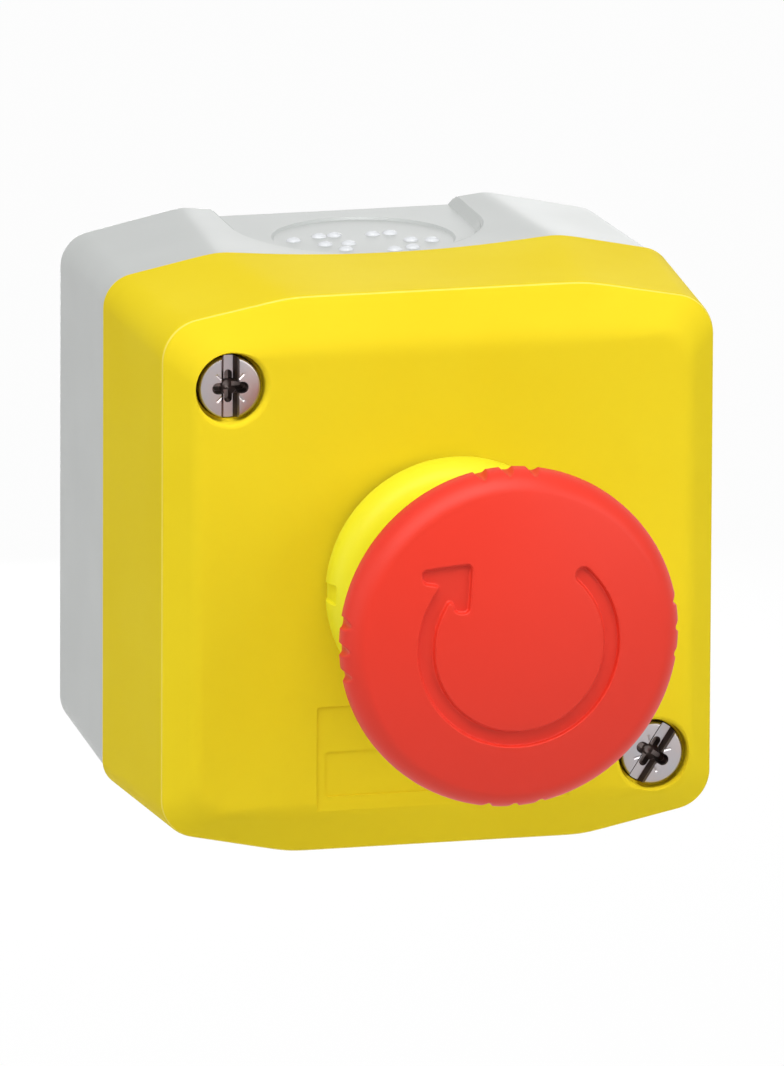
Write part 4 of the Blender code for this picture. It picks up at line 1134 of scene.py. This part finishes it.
@dataclass
class MushroomCap:
    """The red head: a low domed face with a sunk arrow, grip notches in its rim and a skirt behind."""

    shop: Workshop
    radius: float = 19.8
    front: float = 89.0
    rim: float = 82.6
    crown: float = 2.5
    edge: float = 2.3
    band: float = 0.7
    face_rings: int = 15
    edge_rings: int = 13
    # Rounding of the rim's and skirt's edges, the hollow between them, the skirt's root and the socket
    soft: float = 0.3
    hollow: float = 0.8
    root: float = 0.4
    soft_inner: float = 0.2
    lip_inset: float = 0.7
    lip_drop: float = 1.4
    skirt_end: float = 76.0
    skirt_inner: float = 12.9
    skirt_wall: float = 1.3
    ceiling: float = 82.2
    socket: float = 6.8
    socket_front: float = 86.0
    notch_step: float = 9.0
    notch_turn: float = 1.2
    notch_half_width: float = 0.78
    notch_depth: float = 0.65
    notch_power: float = 1.2
    # Equal turns of the grid, degrees on each side of a notch with finer ones, and the least turn kept
    coarse_turns: int = 120
    fine_reach: float = 2.4
    fine_turns: int = 21
    least_turn: float = 0.11
    arrow_outer: float = 11.8
    arrow_inner: float = 9.95
    arrow_tail: float = 46.5
    arrow_neck: Pair = (-215.8, -212.5)
    arrow_floor: float = 88.35
    outer_steps: int = 90
    inner_steps: int = 80
    tail_steps: int = 12
    arrow_foot: float = 0.3
    arrow_edge: float = 0.22
    # Corners of the arrow's head with their radii, from the band's outer side round to its inner side
    head_corners: tuple[Triple, ...] = (
        (-9.2, 7.4, 0.3), (-11.0, 7.68, 0.55), (-11.42, 9.2, 0.65), (-5.5, 9.9, 0.55), (-5.98, 4.2, 0.7),
        (-7.5, 4.3, 0.7), (-8.03, 5.88, 0.3))

    def profile(self) -> Array:
        """Radius and depth from the face's middle round the rim, the skirt and the socket to the axis.

        Over the edge, the dome's height above the rim is taken times the sine of a quarter turn.

        Returns:
            The profile.
        """
        start = self.radius - self.edge
        low = self.rim + self.band
        across = np.linspace(0, start, self.face_rings)[:-1]
        face = np.stack([across, self.front - self.fall(across)], 1)
        turn = np.radians(np.linspace(90, 0, self.edge_rings))
        across = start + self.edge * np.cos(turn)
        edge = np.stack([across, low + (self.front - self.fall(across) - low) * np.sin(turn)], 1)
        outer = self.skirt_inner + self.skirt_wall
        behind = filleted([
            (self.radius, low), (self.radius, self.rim, self.soft),
            (self.radius - self.lip_inset, self.rim - self.lip_drop, self.soft),
            (outer, self.skirt_end + self.lip_drop, self.hollow), (outer, self.skirt_end, self.soft),
            (self.skirt_inner, self.skirt_end, self.soft), (self.skirt_inner, self.ceiling, self.root),
            (self.socket, self.ceiling, self.soft_inner), (self.socket, self.socket_front, self.soft_inner),
            (0, self.socket_front)], closed=False)
        return np.concatenate([face, edge, behind[1:]])

    def fall(self, across: Array) -> Array:
        """How far the domed face lies below its middle: a parabola of the radius."""
        return self.crown * (across / (self.radius - self.edge)) ** 2

    def notches(self, depths: Array, radii: Array, angles: Array) -> Array:
        """Limit the radius near each notch: three round-bottomed grooves at each quarter of the rim.

        The angle is folded into the nearest groove, where the limit falls by a cosine to a power.

        Args:
            depths: Depth of each point.
            radii: Radius of each point.
            angles: Angle of each column.

        Returns:
            The new radii.
        """
        quarter = math.pi / 2
        folded = (angles - math.radians(self.notch_turn) + quarter / 2) % quarter - quarter / 2
        step = math.radians(self.notch_step)
        nearest = np.clip(np.round(folded / step), -1, 1) * step
        away = (folded - nearest) * self.radius / self.notch_half_width
        depth = self.notch_depth * np.cos(np.clip(away, -1, 1) * math.pi / 2) ** self.notch_power
        limit = self.radius - depth
        rim_only = depths > self.rim - self.lip_drop - 0.5
        return np.where(rim_only, np.minimum(radii, limit), radii)

    def angles(self) -> Array:
        """Angles of the grid: coarse all round, and fine across each notch.

        Returns:
            The angles in radians.
        """
        coarse = np.linspace(0, 360, self.coarse_turns, endpoint=False)
        fine = np.linspace(-self.fine_reach, self.fine_reach, self.fine_turns) + self.notch_turn
        centres = [90 * quarter + self.notch_step * number for quarter in range(4) for number in (-1, 0, 1)]
        merged = np.concatenate([coarse] + [(centre + fine) % 360 for centre in centres])
        kept = np.unique(np.round(merged, 2))
        return np.radians(kept[np.diff(kept, prepend=-1) > self.least_turn])

    def arrow(self) -> Array:
        """The arrow's outline: two arcs of the band, a head with rounded corners and a round tail.

        Returns:
            The outline about the face's middle.
        """
        outer = arc((0.0, 0.0), self.arrow_outer, self.arrow_tail, self.arrow_neck[0], self.outer_steps)
        inner = arc((0.0, 0.0), self.arrow_inner, self.arrow_neck[1], self.arrow_tail, self.inner_steps)
        head = filleted([(*outer[-1], 0), *self.head_corners, (*inner[0], 0)], closed=False)
        middle = (self.arrow_outer + self.arrow_inner) / 2
        tail = math.radians(self.arrow_tail)
        end = arc((middle * math.cos(tail), middle * math.sin(tail)),
                  (self.arrow_outer - self.arrow_inner) / 2, self.arrow_tail + 180, self.arrow_tail,
                  self.tail_steps)
        return np.concatenate([outer[:-1], head, inner[1:], end[1:-1]])[::-1]

    def build(self) -> None:
        """Turn the cap with its notches, then sink the arrow with soft edges."""
        cap = revolve("cap", self.profile(), SETTLED, turns=self.angles(), reshape=self.notches)
        section = rounded_sink(self.arrow_floor, self.front, self.arrow_foot, self.arrow_edge)

        def dome(flat: Array) -> Array:
            """Fall of the face at each flat point."""
            return self.fall(np.hypot(*(flat - SETTLED).T))

        carve(cap, [stack("arrow", self.arrow() + np.array(SETTLED), section, sink=dome)])
        self.shop.hand_over(cap, RED, "head", "mushroom_cap")


@dataclass
class Spring:
    """A round-wire coil between two depths, with its end turns laid flat."""

    node: str
    body: str
    mean_radius: float
    low: float
    high: float
    turns: float
    across: float = 0.0
    wire: float = 0.4
    joint: str = ""
    # Part of a turn that lies flat at each end, steps along a turn and steps round the wire
    flat_turn: float = 0.75
    turn_steps: int = 28
    wire_steps: int = 12

    def build(self, shop: Workshop, travel: float) -> None:
        """Sweep the wire along the coil, and give it a mesh of its own when it has a joint.

        The depth rises evenly between the flat parts of its end turns.

        Args:
            shop: Dresses the piece.
            travel: How far the joint closes the spring; not used.
        """
        share = np.linspace(0, 1, int(self.turns * self.turn_steps) + 1)
        angle = 2 * math.pi * self.turns * share
        rise = np.clip((self.turns * share - self.flat_turn) / (self.turns - 2 * self.flat_turn), 0, 1)
        depth = self.low + self.wire + (self.high - self.low - 2 * self.wire) * rise
        side = np.linspace(0, 2 * math.pi, self.wire_steps, endpoint=False)[None]
        reach = self.mean_radius + self.wire * np.cos(side)
        rings = np.stack([self.across + reach * np.cos(angle[:, None]),
                          depth[:, None] + self.wire * np.sin(side), reach * np.sin(angle[:, None])], -1)
        piece = shop.hand_over(grid("wound_" + self.node, rings), SPRING, self.body, self.node)
        if self.joint:
            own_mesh(piece)


@dataclass
class Springs:
    """All the springs inside."""

    shop: Workshop
    travel: float = 4.3
    coils: tuple[Spring, ...] = (
        Spring("return_spring", "enclosure", 5.0, 45.2, 52.4, 4.0, joint="head_push"),
        Spring("torsion_spring", "enclosure", 7.7, 60.3, 72.4, 5.5),
        *(Spring("carrier_spring_" + side, "enclosure", 2.45, 6.1, 12.9, 3.5, across,
                 joint=side + "_contact_slide") for side, across in (("left", -5.2), ("right", 5.2))))

    def build(self) -> None:
        """Make each spring."""
        for coil in self.coils:
            coil.build(self.shop, self.travel)


@dataclass
class InnerPieces:
    """Pieces kept as their solids, with the finish of their material slot."""

    shop: Workshop
    finishes: tuple[Finish, ...] = (GREY, YELLOW, LEMON, RED, CARRIER_RED, DARK, ACETAL, RUBBER, ZINC,
                                    SPRING, BRASS, SILVER)

    def build(self) -> None:
        """Give each CAD node the finish of its slot in the record."""
        by_slot = {finish.slot: finish for finish in self.finishes}
        for entry in frame["record"]["subparts"]:
            node = frame["nodes"][entry["node"]]
            node.data.materials.clear()
            node.data.materials.append(self.shop.material(by_slot[entry["material_slot"]]))
            LOG.info("%s: finish %s", node.name, by_slot[entry["material_slot"]].name)


# Studio


@dataclass
class Camera:
    """The photograph's camera, from a fit to about fifty points of it."""

    azimuth: float = -14.309
    elevation: float = 13.651
    roll: float = 0.271
    distance: float = 2473.0
    lens: float = 722.1
    sensor: float = 36.0
    nearest: float = 0.1
    farthest: float = 50.0
    target: Triple = (0.0, -40.0, 0.0)
    # The image's middle lies left of the target and above it
    left: float = 2.81
    above: float = 1.64

    def build(self) -> None:
        """Place the camera on the left, above, looking along its own back axis."""
        roll = math.radians(self.roll)
        back = direction(self.azimuth, self.elevation)
        right = (-back).cross(Vector((0, 0, 1))).normalized()
        up = right.cross(-back)
        right, up = (right * math.cos(roll) + up * math.sin(roll),
                     up * math.cos(roll) - right * math.sin(roll))
        camera = bpy.data.objects.new("camera", bpy.data.cameras.new("camera"))
        camera.data.lens = self.lens
        camera.data.sensor_width = self.sensor
        camera.data.clip_start = self.nearest
        camera.data.clip_end = self.farthest
        place = Vector(self.target) + back * self.distance - right * self.left + up * self.above
        turn = Matrix((right, up, back)).transposed().to_4x4()
        camera.matrix_world = Matrix.Translation(place * MM) @ turn
        bpy.context.scene.collection.objects.link(camera)
        bpy.context.scene.camera = camera


@dataclass
class Studio:
    """A pale floor, a white room and soft panels of light."""

    shop: Workshop
    # Height of the floor in metres, and half its width in millimetres
    floor_height: float = -0.25
    floor_half: float = 6000.0
    floor_roughness: float = 0.9
    floor_colour: str = "#F4F4F4"
    floor_glow: float = 0.965
    room_strength: float = 0.1
    # Name, azimuth, elevation, distance and size in metres, and power of each panel
    panels: tuple[tuple[str, float, float, float, float, float], ...] = (
        ("over", 0.0, 62.0, 0.8, 0.5, 3.8),
        ("key_left", -50.0, 45.0, 1.7, 1.0, 12.6),
        ("fill_right", 45.0, 22.0, 1.7, 1.0, 10.4),
        ("side_left", -84.0, 12.0, 1.7, 1.0, 4.3),
        ("low_front", 20.0, 0.0, 1.7, 0.5, 0.6),
        ("back_right", 160.0, 6.0, 1.7, 0.45, 0.75),
        ("back_low", 172.0, -6.0, 1.0, 0.24, 1.7),
    )

    def build(self) -> None:
        """Make the floor, the world and the panels."""
        scene = bpy.context.scene
        scene.view_settings.view_transform = "Standard"
        self.build_world()
        self.build_floor()
        for name, azimuth, elevation, distance, size, power in self.panels:
            light = bpy.data.lights.new(name, "AREA")
            light.size = size
            light.energy = power
            lamp = bpy.data.objects.new(name, light)
            way = direction(azimuth, elevation)
            aim = way.to_track_quat("Z", "Y").to_matrix().to_4x4()
            lamp.matrix_world = Matrix.Translation(way * distance) @ aim
            lamp.visible_camera = False
            scene.collection.objects.link(lamp)

    def seen(self, tree: bpy.types.NodeTree) -> bpy.types.NodeSocket:
        """Add nodes that give 1 to a ray that shows the background: straight, mirrored or through glass.

        Args:
            tree: The node tree.

        Returns:
            The socket with the value.
        """
        path = add_node(tree, "LightPath")
        either = add_node(tree, "Math", {"operation": "MAXIMUM"},
                          {0: path.outputs["Is Camera Ray"], 1: path.outputs["Is Glossy Ray"]})
        return add_node(tree, "Math", {"operation": "MAXIMUM"},
                        {0: either.outputs[0], 1: path.outputs["Is Transmission Ray"]}).outputs[0]

    def build_world(self) -> None:
        """A world that lights evenly, and is white wherever it is seen."""
        world = bpy.data.worlds.new("room")
        world.use_nodes = True
        tree = world.node_tree
        room = tree.nodes["Background"]
        room.inputs["Strength"].default_value = self.room_strength
        room.inputs["Color"].default_value = (1, 1, 1, 1)
        white = add_node(tree, "Background", {"Strength": 1.0, "Color": (1, 1, 1, 1)})
        mix = add_node(tree, "MixShader", {},
                       {0: self.seen(tree), 1: room.outputs[0], 2: white.outputs[0]})
        tree.links.new(mix.outputs[0], tree.nodes["World Output"].inputs[0])
        bpy.context.scene.world = world

    def build_floor(self) -> None:
        """A plain pale floor that still takes a faint shadow where the camera sees it."""
        corners = rectangle(self.floor_half, self.floor_half)
        points = np.column_stack([corners, np.full(len(corners), self.floor_height / MM)])
        floor = new_mesh("floor", points, [[0, 1, 2, 3]])
        material = bpy.data.materials.new("pale_floor")
        material.use_nodes = True
        tree = material.node_tree
        shader = tree.nodes["Principled BSDF"]
        shader.inputs["Base Color"].default_value = linear(self.floor_colour)
        shader.inputs["Roughness"].default_value = self.floor_roughness
        glow = add_node(tree, "Emission", {"Color": (1, 1, 1, 1), "Strength": 1.0})
        share = add_node(tree, "Math", {"operation": "MULTIPLY", 1: self.floor_glow},
                         {0: self.seen(tree)})
        mix = add_node(tree, "MixShader", {},
                       {0: share.outputs[0], 1: shader.outputs[0], 2: glow.outputs[0]})
        tree.links.new(mix.outputs[0], tree.nodes["Material Output"].inputs[0])
        floor.data.materials.append(material)
        bpy.context.scene.collection.objects.link(floor)


def main() -> None:
    """Build the camera, the studio and every piece in order."""
    logging.basicConfig(level=logging.INFO, format="%(name)s: %(message)s")
    shop = Workshop()
    box = Box()
    parts = (Camera(), Studio(shop), InnerPieces(shop), Base(shop, box), Cover(shop, box),
             CoverScrews(shop, box), Collar(shop), MushroomCap(shop), Springs(shop))
    for part in parts:
        part.build()
        LOG.info("%s is built", type(part).__name__)


if __name__ == "__main__":
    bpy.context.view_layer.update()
    main()
